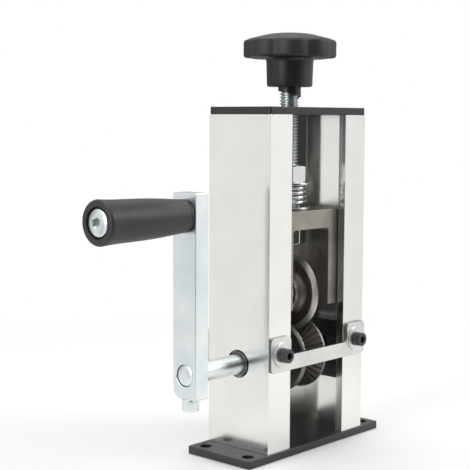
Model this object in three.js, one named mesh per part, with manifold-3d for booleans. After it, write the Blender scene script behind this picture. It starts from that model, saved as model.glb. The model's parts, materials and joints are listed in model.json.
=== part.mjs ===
// Hand crank wire stripper: two aluminium channels between black plates, a driven
// grooved roller below, and a cutting wheel above it in a carriage on a sprung screw.
// Millimetres, +Z up. The origin is the centre of the base plate's underside, the
// shaft lies along X with the crank at -X, and the cable runs along Y.

import * as THREE from "three";
import { mergeVertices } from "three/addons/utils/BufferGeometryUtils.js";
import Module from "manifold-3d";

const wasm = await Module();
wasm.setup();

// Clearances and the chamfers of socket head screws
const roundGap = 0.3;
const slideGap = 0.6;
const turningGap = 0.2;
const socketScrewHeadChamfer = 0.4;
const socketScrewTipChamfer = 0.5;

// Plates
const basePlateLength = 127;
const basePlateDepth = 50;
const basePlateThickness = 4.5;
const topPlateThickness = 4.5;
const plateCornerRadius = 1.5;
const mountHoleRadius = 3.5;
const mountHoleFromEnd = 7.5;
const mountHoleFromSide = 8;

// Channels
const bodyWidth = 92;
const channelHeight = 200;
const channelDepth = 48;
const channelReach = 20.2;
const channelWall = 5;
const channelFillet = 1.5;
const shaftHoleRadius = 8.5;

// Countersunk plate screws, driven into the channels' corners
const plateScrewRadius = 1.5;
const plateScrewHeadRadius = 2.75;
const plateScrewLength = 14;
const plateScrewFromCorner = 3;
const plateScrewSocket = 2;

// Guide bars with their washers and socket head screws
const guideThickness = 2;
const guideTabWidth = 18.5;
const guideTabHeight = 20.8;
const guideBarHeight = 9.2;
const guideBottomBelowShaft = 2.7;
const guideCornerRadius = 3;
const guideScrewRadius = 2.5;
const guideScrewHeadRadius = 4.25;
const guideScrewHeadHeight = 5;
const guideScrewLength = 12;
const guideScrewSocket = 4;
const guideScrewAboveShaft = 7.5;
const guideScrewFromEnd = 9.85;
const guideWasherRadius = 7.5;
const guideWasherThickness = 1;

// Bearing blocks and shaft bearings
const blockSize = 37;
const blockLip = 3.2;
const blockCornerRadius = 2;
const blockThroatRadius = 10;
const shaftBearingRadius = 14;
const shaftBearingWidth = 8;
const bearingRingShare = 0.32;
const bearingShieldShare = 0.1;

// Drive shaft, roller and sleeves
const shaftHeight = 51.5;
const shaftRadius = 6;
const shaftEndInWeb = 1;
const sleeveRadius = 8;
const crankSleeveRadius = 7.5;
const crankSleeveProud = 0.6;
const rollerRadius = 22.7;
const rollerWidth = 23;
const rollerLand = 2.7;
const rollerChamfer = 1;
const grooveRootRadius = 9;
const grooveRootWidth = 3;
const serrationCount = 34;
const serrationWidth = 1.1;
const serrationDepth = 1;
const keyWidth = 4;
const keyLength = 16;
const keyInShaft = 2.5;
const keyInRoller = 1.5;
const ringThickness = 1;
const ringGrooveDepth = 0.6;
const ringRadius = 7.8;
const ringGapAngle = 0.5;
const ringArcSides = 14;

// Crank arm and clamp screw
const armWidth = 18;
const armThickness = 10.5;
const armFromBody = 35.2;
const armThrow = 91.4;
const armBeyondGrip = 13;
const armBelowShaft = 13.5;
const armBackRadius = 5.5;
const armEdgeRadius = 0.6;
const clampScrewRadius = 3;
const clampHeadRadius = 5;
const clampHeadHeight = 6;
const clampSocket = 5;
const clampWasherThickness = 1.6;
const clampWasherRadius = 5.4;
const clampFlatDepth = 0.6;
const clampFlatLength = 7;

// Turning grip and its bolt
const gripLength = 63.8;
const gripOuterRadius = 12.5;
const gripShoulderRadius = 11.9;
const gripMiddleRadius = 11.5;
const gripNeckRadius = 11;
const gripInnerRadius = 9.6;
const gripEndRounding = 2;
const gripRecessRadius = 8.65;
const gripEndTaper = 0.6;
const gripBoltRadius = 4;
const gripBoltHeadRadius = 7.6;
const gripBoltHeadHeight = 3.3;
const gripBoltHeadBevel = 1;
const gripBoltShort = 0.6;
const gripBoltHeadProud = 0.4;
const gripBoltSocket = 6;
const gripWasherRadius = 7.5;
const gripWasherThickness = 1;

// Cutting wheel, its axle and bearings
const bladeRadius = 24.3;
const bladeDip = 8;
const bladeBevelDepth = 2.8;
const bladeThickness = 4.8;
const bladeHubRadius = 13.9;
const bladeHubLength = 14;
const bladeHubFlare = 3.6;
const bladeFlareDip = 0.3;
const bladeBearingRadius = 11;
const bladeBearingWidth = 6;
const bladeLip = 0.8;
const axleRadius = 5;
const axleInLeg = 19;
const axleSleeveRadius = 6.8;
const axleScrewRadius = 2.5;
const axleScrewInLeg = 10;
const axleScrewSocket = 2.5;

// Carriage
const carriageWindow = 34.2;
const carriageBar = 11.5;
const carriageBelowAxle = 8.2;
const carriageCornerRadius = 1.8;
const carriageFloat = 3;

// Adjusting screw, nuts, washers and spring
const screwRadius = 6;
const screwTipChamfer = 1;
const screwBeyondNut = 1.5;
const screwTipClearance = 1.2;
const nutWidth = 19;
const nutHeight = 10;
const nutChamferHeight = 0.9;
const upperNutTurn = 21;
const lowerNutTurn = 48.8;
const springWasherRadius = 13.5;
const springWasherThickness = 1.5;
const springOuterRadius = 11;
const springWireRadius = 1;
const springLength = 13.6;
const springTurns = 4;
const springStepsPerTurn = 8;
const springSides = 5;

// Star knob
const knobRadius = 28.4;
const knobLobes = 8;
const knobLobeRadius = 13;
const knobLobeTurn = 42.2;
const knobRimHeight = 11;
const knobRimRounding = 1.8;
const knobUnderRounding = 1.8;
const knobDomeHeight = 3.8;
const knobDomeRadius = 17;
const knobDomeFlatRadius = 9;
const knobHubHeight = 17.5;
const knobHubTopRadius = 14.5;
const knobHubBottomRadius = 14;
const knobHubRounding = 1;
const knobStandoff = 12.5;
const knobCollarRadius = 7;
const knobCollarLongest = 7.6;
const knobCollarShortest = 0.6;
const knobCollarTurn = 42;
const knobInsertRadius = 9;
const knobInsertLength = 16;
const screwInKnob = 15;

// Roundness of turned pieces, in sides
const wheelSides = 28;
const turnedSides = 16;
const smallSides = 12;
const lobeSides = 6;
const cornerArcSides = 3;
const armArcSides = 6;
const nutChamferSides = 24;
const collarSides = 12;

// Places that follow from the sizes
const bodyBottom = basePlateThickness;
const bodyTop = bodyBottom + channelHeight;
const plateTop = bodyTop + topPlateThickness;
const webOuter = bodyWidth / 2;
const webInner = webOuter - channelWall;
const flangeTip = webOuter - channelReach;
const flangeOuter = channelDepth / 2;
const flangeInner = flangeOuter - channelWall;
const shaftZ = bodyBottom + shaftHeight;
const guideBottom = shaftZ - guideBottomBelowShaft;
const guideFace = flangeOuter + guideThickness;
const guideScrewX = webOuter - guideScrewFromEnd;
const guideScrewZ = shaftZ + guideScrewAboveShaft;
const blockOuter = webInner - roundGap;
const blockInner = blockOuter - shaftBearingWidth - blockLip;
const bearingInner = blockOuter - shaftBearingWidth;
const shaftEnd = webOuter - shaftEndInWeb;
const armInner = -(webOuter + armFromBody);
const armOuter = armInner - armThickness;
const armBottom = shaftZ - armBelowShaft;
const gripZ = shaftZ + armThrow;
const armTop = gripZ + armBeyondGrip;
const armCentre = (armInner + armOuter) / 2;
const gripInner = armOuter - gripWasherThickness;
const gripOuter = gripInner - gripLength;
const gripHeadOuter = gripOuter - gripBoltHeadProud;
const gripHeadInner = gripHeadOuter + gripBoltHeadHeight;
const axleZ = shaftZ + rollerRadius + bladeRadius - bladeDip;
const screwBottom = axleZ + bladeRadius + carriageFloat + screwTipClearance;
const lowerNutBottom = screwBottom + screwBeyondNut;
const barBottom = lowerNutBottom + nutHeight;
const barTop = barBottom + carriageBar;
const legBottom = axleZ - carriageBelowAxle;
const legInner = carriageWindow / 2;
const carriageSide = webInner - slideGap;
const carriageFace = flangeInner - slideGap;
const springBottom = barTop + springWasherThickness;
const springTop = springBottom + springLength;
const upperNutBottom = springTop + springWasherThickness;
const knobBottom = plateTop + knobStandoff;
const rimBottom = knobBottom + knobHubHeight;
const rimTop = rimBottom + knobRimHeight;
const knobTop = rimTop + knobDomeHeight;

// Shape tools

function solidOf(geometry) {
  const bare = geometry.clone();
  bare.deleteAttribute("normal");
  bare.deleteAttribute("uv");
  const merged = mergeVertices(bare, 1e-4);
  const index = merged.index.array;
  const kept = [];
  for (let i = 0; i < index.length; i += 3) {
    const [a, b, c] = [index[i], index[i + 1], index[i + 2]];
    if (a !== b && b !== c && c !== a) kept.push(a, b, c);
  }
  return new wasm.Manifold(new wasm.Mesh({
    numProp: 3,
    vertProperties: new Float32Array(merged.attributes.position.array),
    triVerts: new Uint32Array(kept),
  }));
}

function geometryOf(solid) {
  const mesh = solid.getMesh();
  const geometry = new THREE.BufferGeometry();
  geometry.setAttribute("position", new THREE.BufferAttribute(mesh.vertProperties, 3));
  geometry.setIndex(new THREE.BufferAttribute(mesh.triVerts, 1));
  geometry.computeVertexNormals();
  return geometry;
}

function cut(solid, tools) {
  return tools.reduce((rest, tool) => rest.subtract(tool), solid);
}

function block(low, high) {
  const size = high.map((value, axis) => value - low[axis]);
  const geometry = new THREE.BoxGeometry(...size);
  geometry.translate(...low.map((value, axis) => value + size[axis] / 2));
  return solidOf(geometry);
}

// A profile of [radius, height] pairs turned about Z
function turned(profile, sides) {
  const points = profile.map(([radius, height]) => new THREE.Vector2(radius, height));
  return solidOf(new THREE.LatheGeometry(points, sides).rotateX(Math.PI / 2));
}

function rod(radius, low, high, sides) {
  return turned([[0, low], [radius, low], [radius, high], [0, high]], sides);
}

function ring(inner, outer, low, high, sides) {
  const profile = [[inner, low], [outer, low], [outer, high], [inner, high], [inner, low]];
  return turned(profile, sides);
}

// A closed profile from its upper half, listed from the bore outwards
function bothHalves(half) {
  const lower = half.map(([radius, height]) => [radius, -height]);
  return [...lower, ...half.toReversed(), lower[0]];
}

// Pieces made about Z are laid along X, or along Y
function alongX(solid) {
  return solid.rotate([0, 90, 0]);
}

function alongY(solid) {
  return solid.rotate([-90, 0, 0]);
}

function atShaft(solid) {
  return alongX(solid).translate([0, 0, shaftZ]);
}

function atAxle(solid) {
  return alongX(solid).translate([0, 0, axleZ]);
}

function mirroredX(solid) {
  return solid.mirror([1, 0, 0]);
}

function mirroredY(solid) {
  return solid.mirror([0, 1, 0]);
}

// A closed skin over rings with the same number of points, listed upwards, its ends flat
function skinned(rings) {
  const sides = rings[0].length;
  const index = [];
  for (let i = 0; i < rings.length - 1; i += 1) {
    for (let side = 0; side < sides; side += 1) {
      const a = i * sides + side;
      const b = i * sides + ((side + 1) % sides);
      index.push(a, b, a + sides, b, b + sides, a + sides);
    }
  }
  const last = (rings.length - 1) * sides;
  for (let side = 1; side < sides - 1; side += 1) {
    index.push(0, side + 1, side);
    index.push(last, last + side, last + side + 1);
  }
  const geometry = new THREE.BufferGeometry();
  geometry.setAttribute("position", new THREE.Float32BufferAttribute(rings.flat(2), 3));
  geometry.setIndex(index);
  return solidOf(geometry);
}

// A closed outline from corners [x, y, radius], with each corner an arc of that radius
function roundedShape(corners) {
  const shape = new THREE.Shape();
  const count = corners.length;
  corners.forEach(([x, y, radius], i) => {
    const here = new THREE.Vector2(x, y);
    const before = new THREE.Vector2(...corners[(i + count - 1) % count]).sub(here).normalize();
    const after = new THREE.Vector2(...corners[(i + 1) % count]).sub(here).normalize();
    const half = Math.acos(before.dot(after)) / 2;
    const start = here.clone().addScaledVector(before, radius / Math.tan(half));
    if (i === 0) shape.moveTo(start.x, start.y);
    else shape.lineTo(start.x, start.y);
    if (radius === 0) return;
    const centre = before.clone().add(after).normalize();
    centre.multiplyScalar(radius / Math.sin(half)).add(here);
    const end = here.clone().addScaledVector(after, radius / Math.tan(half));
    const from = Math.atan2(start.y - centre.y, start.x - centre.x);
    const to = Math.atan2(end.y - centre.y, end.x - centre.x);
    shape.absarc(centre.x, centre.y, radius, from, to, before.cross(after) > 0);
  });
  shape.closePath();
  return shape;
}

// An outline in XY pushed up from one height to another
function prism(shape, low, high, curveSegments = cornerArcSides) {
  const settings = { depth: high - low, bevelEnabled: false, curveSegments };
  const geometry = new THREE.ExtrudeGeometry(shape, settings);
  geometry.translate(0, 0, low);
  return solidOf(geometry);
}

// The same outline read as XZ and pushed along Y, or read as YZ and pushed along X
function prismAlongY(shape, low, high, curveSegments = cornerArcSides) {
  return prism(shape, -high, -low, curveSegments).rotate([90, 0, 0]);
}

function prismAlongX(shape, low, high, curveSegments = cornerArcSides) {
  return prism(shape, low, high, curveSegments).rotate([90, 0, 90]);
}

function rectangle(halfX, halfY, radius) {
  return roundedShape([
    [-halfX, -halfY, radius],
    [halfX, -halfY, radius],
    [halfX, halfY, radius],
    [-halfX, halfY, radius],
  ]);
}

function hexagon(acrossFlats, low, high) {
  const corner = acrossFlats / Math.sqrt(3);
  return rod(corner, low, high, 6);
}

// A socket head screw about Z: the head stands above z = 0, the shank hangs below
function socketScrew({ radius, headRadius, headHeight, length, socket }) {
  const body = turned([
    [0, -length],
    [radius - socketScrewTipChamfer, -length],
    [radius, -length + socketScrewTipChamfer],
    [radius, 0],
    [headRadius, 0],
    [headRadius, headHeight - socketScrewHeadChamfer],
    [headRadius - socketScrewHeadChamfer, headHeight],
    [0, headHeight],
  ], smallSides);
  return cut(body, [hexagon(socket, headHeight / 2, headHeight + 1)]);
}

function material(color, roughness, metalness) {
  return new THREE.MeshStandardMaterial({ color, roughness, metalness });
}

const finishes = {
  millAluminium: () => material(0xdfe0dc, 0.28, 1),
  blackPlate: () => material(0x4a4a4c, 0.6, 0.2),
  blackBlock: () => material(0x2e2e30, 0.6, 0.2),
  zincSteel: () => material(0xd3dadb, 0.35, 1),
  guideSteel: () => material(0xcdcecb, 0.4, 1),
  blackSteel: () => material(0x333436, 0.45, 0.7),
  machinedSteel: () => material(0x8f8b84, 0.42, 1),
  bladeSteel: () => material(0x6b665f, 0.3, 1),
  rollerSteel: () => material(0x4c4945, 0.4, 1),
  bearingSteel: () => material(0xa8adb0, 0.25, 1),
  springSteel: () => material(0xd9dcdb, 0.25, 1),
  blackPlastic: () => material(0x3c3c3e, 0.5, 0),
  gripPlastic: () => material(0x4b4b4d, 0.65, 0),
};

const stripper = new THREE.Group();

function addPiece(name, solid, finish) {
  const mesh = new THREE.Mesh(geometryOf(solid), finishes[finish]());
  mesh.name = name;
  stripper.add(mesh);
}

// Adds a piece made for the right side, and its mirror image
function addBothSides(name, solid, finish) {
  addPiece(`left_${name}`, mirroredX(solid), finish);
  addPiece(`right_${name}`, solid, finish);
}

// Adds a piece made for the right rear corner, and its mirror images in the other three
function addFourCorners(name, solid, finish) {
  addPiece(`right_rear_${name}`, solid, finish);
  addPiece(`left_rear_${name}`, mirroredX(solid), finish);
  addPiece(`right_front_${name}`, mirroredY(solid), finish);
  addPiece(`left_front_${name}`, mirroredX(mirroredY(solid)), finish);
}

// Plates and their screws

const plateScrewX = webOuter - plateScrewFromCorner;
const plateScrewY = flangeOuter - plateScrewFromCorner;

// Copies of a tool at the four corners of a rectangle
function atCorners(halfX, halfY, tool) {
  return [[-1, -1], [1, -1], [1, 1], [-1, 1]].map(([i, j]) => tool.translate([i * halfX, j * halfY, 0]));
}

// A countersunk screw about Z with its head's flat at z = 0, pointing down
function plateScrew() {
  const headDepth = plateScrewHeadRadius - plateScrewRadius;
  const body = turned([
    [0, -plateScrewLength],
    [plateScrewRadius, -plateScrewLength],
    [plateScrewRadius, -headDepth],
    [plateScrewHeadRadius, 0],
    [0, 0],
  ], smallSides);
  return cut(body, [hexagon(plateScrewSocket, -headDepth, 1)]);
}

// The hole for it keeps an even gap all round
function plateScrewHole(depth) {
  const radius = plateScrewRadius + roundGap;
  const mouth = plateScrewHeadRadius + roundGap;
  return turned([
    [0, -depth],
    [radius, -depth],
    [radius, radius - mouth],
    [mouth, 0],
    [mouth, 1],
    [0, 1],
  ], smallSides);
}

function basePlate() {
  const outline = rectangle(basePlateLength / 2, basePlateDepth / 2, plateCornerRadius);
  const holeX = basePlateLength / 2 - mountHoleFromEnd;
  const holeY = basePlateDepth / 2 - mountHoleFromSide;
  const mountHole = rod(mountHoleRadius, -1, basePlateThickness + 1, turnedSides);
  const screwHole = plateScrewHole(basePlateThickness + 1).rotate([180, 0, 0]);
  return cut(prism(outline, 0, basePlateThickness), [
    ...atCorners(holeX, holeY, mountHole),
    ...atCorners(plateScrewX, plateScrewY, screwHole),
  ]);
}

function topPlate() {
  const outline = rectangle(webOuter, flangeOuter, plateCornerRadius);
  const screwHole = plateScrewHole(topPlateThickness + 1).translate([0, 0, plateTop]);
  const threadedHole = rod(screwRadius + roundGap, bodyTop - 1, plateTop + 1, turnedSides);
  return cut(prism(outline, bodyTop, plateTop), [
    ...atCorners(plateScrewX, plateScrewY, screwHole),
    threadedHole,
  ]);
}

addPiece("base_plate", basePlate(), "blackPlate");
addPiece("top_plate", topPlate(), "blackPlate");
addFourCorners(
  "base_plate_screw",
  plateScrew().rotate([180, 0, 0]).translate([plateScrewX, plateScrewY, 0]),
  "blackSteel",
);
addFourCorners(
  "top_plate_screw",
  plateScrew().translate([plateScrewX, plateScrewY, plateTop]),
  "blackSteel",
);

// Channels, open towards each other

function channel() {
  const outline = roundedShape([
    [webOuter, -flangeOuter, 0],
    [webOuter, flangeOuter, 0],
    [flangeTip, flangeOuter, 0],
    [flangeTip, flangeInner, 0],
    [webInner, flangeInner, channelFillet],
    [webInner, -flangeInner, channelFillet],
    [flangeTip, -flangeInner, 0],
    [flangeTip, -flangeOuter, 0],
  ]);
  const screwHole = rod(plateScrewRadius + roundGap, -plateScrewLength, plateScrewLength, smallSides);
  const endHoles = [bodyBottom, bodyTop].flatMap((z) => [-plateScrewY, plateScrewY].map((y) =>
    screwHole.translate([plateScrewX, y, z])));
  const shaftHole = atShaft(rod(shaftHoleRadius, webInner - 1, webOuter + 1, turnedSides));
  const guideHoles = alongY(rod(guideScrewRadius + roundGap, -bodyWidth, bodyWidth, smallSides))
    .translate([guideScrewX, 0, guideScrewZ]);
  return cut(prism(outline, bodyBottom, bodyTop), [...endHoles, shaftHole, guideHoles]);
}

addBothSides("channel", channel(), "millAluminium");

// Guide bars, washers and screws

function frontGuideBar() {
  const tabInner = webOuter - guideTabWidth;
  const tabTop = guideBottom + guideTabHeight;
  const barTopEdge = guideBottom + guideBarHeight;
  const outline = roundedShape([
    [-webOuter, guideBottom, guideCornerRadius],
    [webOuter, guideBottom, guideCornerRadius],
    [webOuter, tabTop, guideCornerRadius],
    [tabInner, tabTop, guideCornerRadius],
    [tabInner, barTopEdge, guideCornerRadius],
    [-tabInner, barTopEdge, guideCornerRadius],
    [-tabInner, tabTop, guideCornerRadius],
    [-webOuter, tabTop, guideCornerRadius],
  ]);
  const hole = alongY(rod(guideScrewRadius + roundGap, -guideFace - 1, guideFace + 1, smallSides));
  return cut(prismAlongY(outline, -guideFace, -flangeOuter), [
    hole.translate([guideScrewX, 0, guideScrewZ]),
    hole.translate([-guideScrewX, 0, guideScrewZ]),
  ]);
}

// Puts a piece made about Z on the right rear guide screw's place, pointing outwards
function atGuideScrew(solid) {
  return alongY(solid).translate([guideScrewX, guideFace, guideScrewZ]);
}

addPiece("front_guide_bar", frontGuideBar(), "guideSteel");
addPiece("rear_guide_bar", mirroredY(frontGuideBar()), "guideSteel");
addFourCorners("guide_washer", atGuideScrew(
  ring(guideScrewRadius + roundGap, guideWasherRadius, 0, guideWasherThickness, turnedSides),
), "zincSteel");
addFourCorners("guide_screw", atGuideScrew(socketScrew({
  radius: guideScrewRadius,
  headRadius: guideScrewHeadRadius,
  headHeight: guideScrewHeadHeight,
  length: guideScrewLength,
  socket: guideScrewSocket,
}).translate([0, 0, guideWasherThickness])), "blackSteel");

// Bearing blocks, held in the channels by the guide screws

function bearingBlock() {
  const half = blockSize / 2;
  const outline = roundedShape([
    [blockInner, -half, 0],
    [blockOuter, -half, blockCornerRadius],
    [blockOuter, half, blockCornerRadius],
    [blockInner, half, 0],
  ]);
  const pocket = atShaft(rod(shaftBearingRadius + roundGap, bearingInner, webOuter, wheelSides));
  const throat = atShaft(rod(blockThroatRadius, 0, webOuter, turnedSides));
  const tipDepth = guideFace + guideWasherThickness - guideScrewLength - roundGap;
  const tapped = alongY(rod(guideScrewRadius + roundGap, tipDepth, half + 1, smallSides))
    .translate([guideScrewX, 0, guideScrewZ]);
  return cut(prism(outline, shaftZ - half, shaftZ + half), [pocket, throat, tapped, mirroredY(tapped)]);
}

addBothSides("bearing_block", bearingBlock(), "blackBlock");

// The rings of a shielded ball bearing about Z from z = 0: the outer one carries both shields
function bearingRings(bore, outer, width) {
  const wall = (outer - bore) * bearingRingShare;
  const shield = width * bearingShieldShare;
  const innerRingRadius = bore + wall;
  const raceRadius = outer - wall;
  const shieldRadius = innerRingRadius + roundGap;
  const outerRing = turned([
    [shieldRadius, 0],
    [outer, 0],
    [outer, width],
    [shieldRadius, width],
    [shieldRadius, width - shield],
    [raceRadius, width - shield],
    [raceRadius, shield],
    [shieldRadius, shield],
    [shieldRadius, 0],
  ], turnedSides);
  return [outerRing, ring(bore + roundGap, innerRingRadius, 0, width, turnedSides)];
}

const [shaftOuterRing, shaftInnerRing] = bearingRings(shaftRadius, shaftBearingRadius, shaftBearingWidth)
  .map((solid) => atShaft(solid.translate([0, 0, bearingInner])));

addBothSides("shaft_bearing_outer_ring", shaftOuterRing, "bearingSteel");
addBothSides("shaft_bearing_inner_ring", shaftInnerRing, "bearingSteel");

// Drive shaft with its key, sleeves and retaining ring

const ringFrom = blockOuter + turningGap;
const ringGrooveRadius = shaftRadius - ringGrooveDepth;

function driveShaft() {
  const body = atShaft(rod(shaftRadius, armOuter, shaftEnd, turnedSides));
  const keyway = block(
    [-keyLength / 2, -keyWidth / 2, shaftZ + shaftRadius - keyInShaft],
    [keyLength / 2, keyWidth / 2, shaftZ + shaftRadius + 1],
  );
  const flat = block(
    [armCentre - clampFlatLength / 2, -shaftRadius, shaftZ - shaftRadius - 1],
    [armCentre + clampFlatLength / 2, shaftRadius, shaftZ - shaftRadius + clampFlatDepth],
  );
  const grooveEnd = ringFrom + ringThickness + turningGap;
  const groove = atShaft(ring(
    ringGrooveRadius, shaftRadius + 1, ringFrom - turningGap, grooveEnd, turnedSides,
  ));
  return cut(body, [keyway, flat, groove]);
}

function retainingRing() {
  const inner = ringGrooveRadius + turningGap;
  const shape = new THREE.Shape();
  shape.absarc(0, 0, ringRadius, ringGapAngle, 2 * Math.PI - ringGapAngle, false);
  shape.absarc(0, 0, inner, 2 * Math.PI - ringGapAngle, ringGapAngle, true);
  shape.closePath();
  return atShaft(prism(shape, ringFrom, ringFrom + ringThickness, ringArcSides));
}

function rollerSleeve() {
  const solid = ring(shaftRadius + roundGap, sleeveRadius, rollerWidth / 2, bearingInner, turnedSides);
  return atShaft(solid);
}

function crankSleeve() {
  const end = webOuter + crankSleeveProud;
  return mirroredX(atShaft(ring(shaftRadius + roundGap, crankSleeveRadius, blockOuter, end, turnedSides)));
}

addPiece("drive_shaft", driveShaft(), "zincSteel");
addPiece("roller_key", block(
  [-keyLength / 2 + turningGap, -keyWidth / 2 + turningGap, shaftZ + shaftRadius - keyInShaft],
  [keyLength / 2 - turningGap, keyWidth / 2 - turningGap, shaftZ + shaftRadius + keyInRoller],
), "bearingSteel");
addBothSides("roller_sleeve", rollerSleeve(), "zincSteel");
addPiece("crank_sleeve", crankSleeve(), "bearingSteel");
addPiece("shaft_retaining_ring", retainingRing(), "blackSteel");

// Feed roller: a V groove between two lands, its flanks serrated

const grooveHalf = rollerWidth / 2 - rollerLand;
const rootHalf = grooveRootWidth / 2;

// Half the groove's width at a distance from the shaft's axis
function grooveHalfAt(radius) {
  const share = (radius - grooveRootRadius) / (rollerRadius - grooveRootRadius);
  return rootHalf + (grooveHalf - rootHalf) * share;
}

function feedRoller() {
  const half = rollerWidth / 2;
  const body = turned(bothHalves([
    [shaftRadius + roundGap, half],
    [rollerRadius - rollerChamfer, half],
    [rollerRadius, half - rollerChamfer],
    [rollerRadius, grooveHalf],
    [grooveRootRadius, rootHalf],
  ]), serrationCount);
  const flankSlope = (grooveHalf - rootHalf) / (rollerRadius - grooveRootRadius);
  const sideways = serrationDepth * Math.hypot(1, flankSlope);
  const slotTop = rollerRadius + 1;
  const slotBottom = grooveRootRadius + serrationDepth;
  const slotOutline = roundedShape([
    [-grooveHalfAt(slotBottom) - sideways, slotBottom, 0],
    [grooveHalfAt(slotBottom) + sideways, slotBottom, 0],
    [grooveHalfAt(slotTop) + sideways, slotTop, 0],
    [-grooveHalfAt(slotTop) - sideways, slotTop, 0],
  ]);
  const slot = prismAlongY(slotOutline, -serrationWidth / 2, serrationWidth / 2);
  const slots = Array.from({ length: serrationCount }, (_, i) =>
    slot.rotate([((i + 0.5) * 360) / serrationCount, 0, 0]));
  const keyway = block(
    [-half - 1, -keyWidth / 2, 0],
    [half + 1, keyWidth / 2, shaftRadius + keyInRoller + turningGap],
  );
  return cut(alongX(body), [...slots, keyway]).translate([0, 0, shaftZ]);
}

addPiece("feed_roller", feedRoller(), "rollerSteel");

// Crank arm, clamped to the shaft from below

function crankArm() {
  const outline = roundedShape([
    [-armWidth / 2, armBottom, armEdgeRadius],
    [armWidth / 2, armBottom, armBackRadius],
    [armWidth / 2, armTop, armEdgeRadius],
    [-armWidth / 2, armTop, armEdgeRadius],
  ]);
  const shaftHole = atShaft(rod(shaftRadius + roundGap, armOuter - 1, armInner + 1, turnedSides));
  const boltHole = alongX(rod(gripBoltRadius + roundGap, armOuter - 1, armInner + 1, smallSides))
    .translate([0, 0, gripZ]);
  const clampHole = rod(clampScrewRadius + roundGap, armBottom - 1, shaftZ, smallSides)
    .translate([armCentre, 0, 0]);
  return cut(prismAlongX(outline, armOuter, armInner, armArcSides), [shaftHole, boltHole, clampHole]);
}

function clampScrew() {
  const underHead = armBottom - clampWasherThickness;
  const tip = shaftZ - shaftRadius + clampFlatDepth - turningGap;
  return socketScrew({
    radius: clampScrewRadius,
    headRadius: clampHeadRadius,
    headHeight: clampHeadHeight,
    length: tip - underHead,
    socket: clampSocket,
  }).rotate([180, 0, 0]).translate([armCentre, 0, underHead]);
}

addPiece("crank_arm", crankArm(), "zincSteel");
addPiece("clamp_screw", clampScrew(), "zincSteel");
addPiece("clamp_washer", ring(
  clampScrewRadius + roundGap, clampWasherRadius, armBottom - clampWasherThickness, armBottom, smallSides,
).translate([armCentre, 0, 0]), "zincSteel");

// Grip, turning on a bolt through the arm

function atGrip(solid) {
  return alongX(solid).translate([0, 0, gripZ]);
}

function grip() {
  const bore = gripBoltRadius + roundGap;
  const recessFloor = gripHeadInner + turningGap;
  const inner = gripInner - turningGap;
  const at = (share) => gripOuter + gripLength * share;
  const roundEnd = [0, 0.5, 1].map((share) => {
    const angle = (share * Math.PI) / 2;
    const radius = gripOuterRadius - gripEndRounding * (1 - Math.sin(angle));
    return [radius, gripOuter + gripEndRounding * (1 - Math.cos(angle))];
  });
  return atGrip(turned([
    [bore, recessFloor],
    [gripRecessRadius, recessFloor],
    [gripRecessRadius, gripOuter],
    ...roundEnd,
    [gripShoulderRadius, at(0.18)],
    [gripMiddleRadius, at(0.5)],
    [gripNeckRadius, at(0.68)],
    [gripInnerRadius, at(0.96)],
    [gripInnerRadius - gripEndTaper, inner],
    [bore, inner],
    [bore, recessFloor],
  ], wheelSides));
}

function gripBolt() {
  const body = atGrip(turned([
    [0, gripHeadOuter],
    [gripBoltHeadRadius - gripBoltHeadBevel, gripHeadOuter],
    [gripBoltHeadRadius, gripHeadOuter + gripBoltHeadBevel],
    [gripBoltHeadRadius, gripHeadInner],
    [gripBoltRadius, gripHeadInner],
    [gripBoltRadius, armInner - gripBoltShort],
    [0, armInner - gripBoltShort],
  ], turnedSides));
  const socket = atGrip(hexagon(gripBoltSocket, gripHeadOuter - 1, gripHeadInner - gripBoltHeadBevel));
  return cut(body, [socket]);
}

addPiece("grip_washer", atGrip(ring(
  gripBoltRadius + roundGap, gripWasherRadius, gripInner, armOuter, turnedSides,
)), "zincSteel");
addPiece("grip_bolt", gripBolt(), "zincSteel");
addPiece("grip", grip(), "gripPlastic");

// Cutting wheel with two bearings in its hub

const hubEnd = bladeHubLength / 2;
const discHalf = bladeThickness / 2;

function cuttingWheel() {
  return atAxle(turned(bothHalves([
    [bladeBearingRadius + roundGap, hubEnd - bladeLip],
    [bladeHubRadius - bladeLip, hubEnd],
    [bladeHubRadius, hubEnd],
    [bladeHubRadius, discHalf + bladeHubFlare],
    [bladeHubRadius + bladeHubFlare * bladeFlareDip, discHalf + bladeHubFlare * bladeFlareDip],
    [bladeHubRadius + bladeHubFlare, discHalf],
    [bladeRadius - bladeBevelDepth, discHalf],
    [bladeRadius, 0],
  ]), wheelSides));
}

const [wheelOuterRing, wheelInnerRing] = bearingRings(axleRadius, bladeBearingRadius, bladeBearingWidth)
  .map(atAxle);

addPiece("cutting_wheel", cuttingWheel(), "bladeSteel");
addBothSides("wheel_bearing_outer_ring", wheelOuterRing, "bearingSteel");
addBothSides("wheel_bearing_inner_ring", wheelInnerRing, "bearingSteel");

// Axle, its sleeves and the set screws that hold it in the carriage's legs

const axleEnd = legInner + axleInLeg;
const axleScrewX = legInner + axleScrewInLeg;

function axleSleeve() {
  return atAxle(ring(axleRadius + roundGap, axleSleeveRadius, bladeBearingWidth, legInner, turnedSides));
}

function axleSetScrew() {
  const top = axleZ - axleRadius - roundGap;
  const body = rod(axleScrewRadius, legBottom, top, smallSides);
  const socket = hexagon(axleScrewSocket, legBottom - 1, (legBottom + top) / 2);
  return cut(body, [socket]).translate([axleScrewX, 0, 0]);
}

addPiece("wheel_axle", atAxle(rod(axleRadius, -axleEnd, axleEnd, turnedSides)), "zincSteel");
addBothSides("axle_sleeve", axleSleeve(), "zincSteel");
addBothSides("axle_set_screw", axleSetScrew(), "blackSteel");

// Carriage: an upside-down U that slides between the channels' flanges

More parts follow.
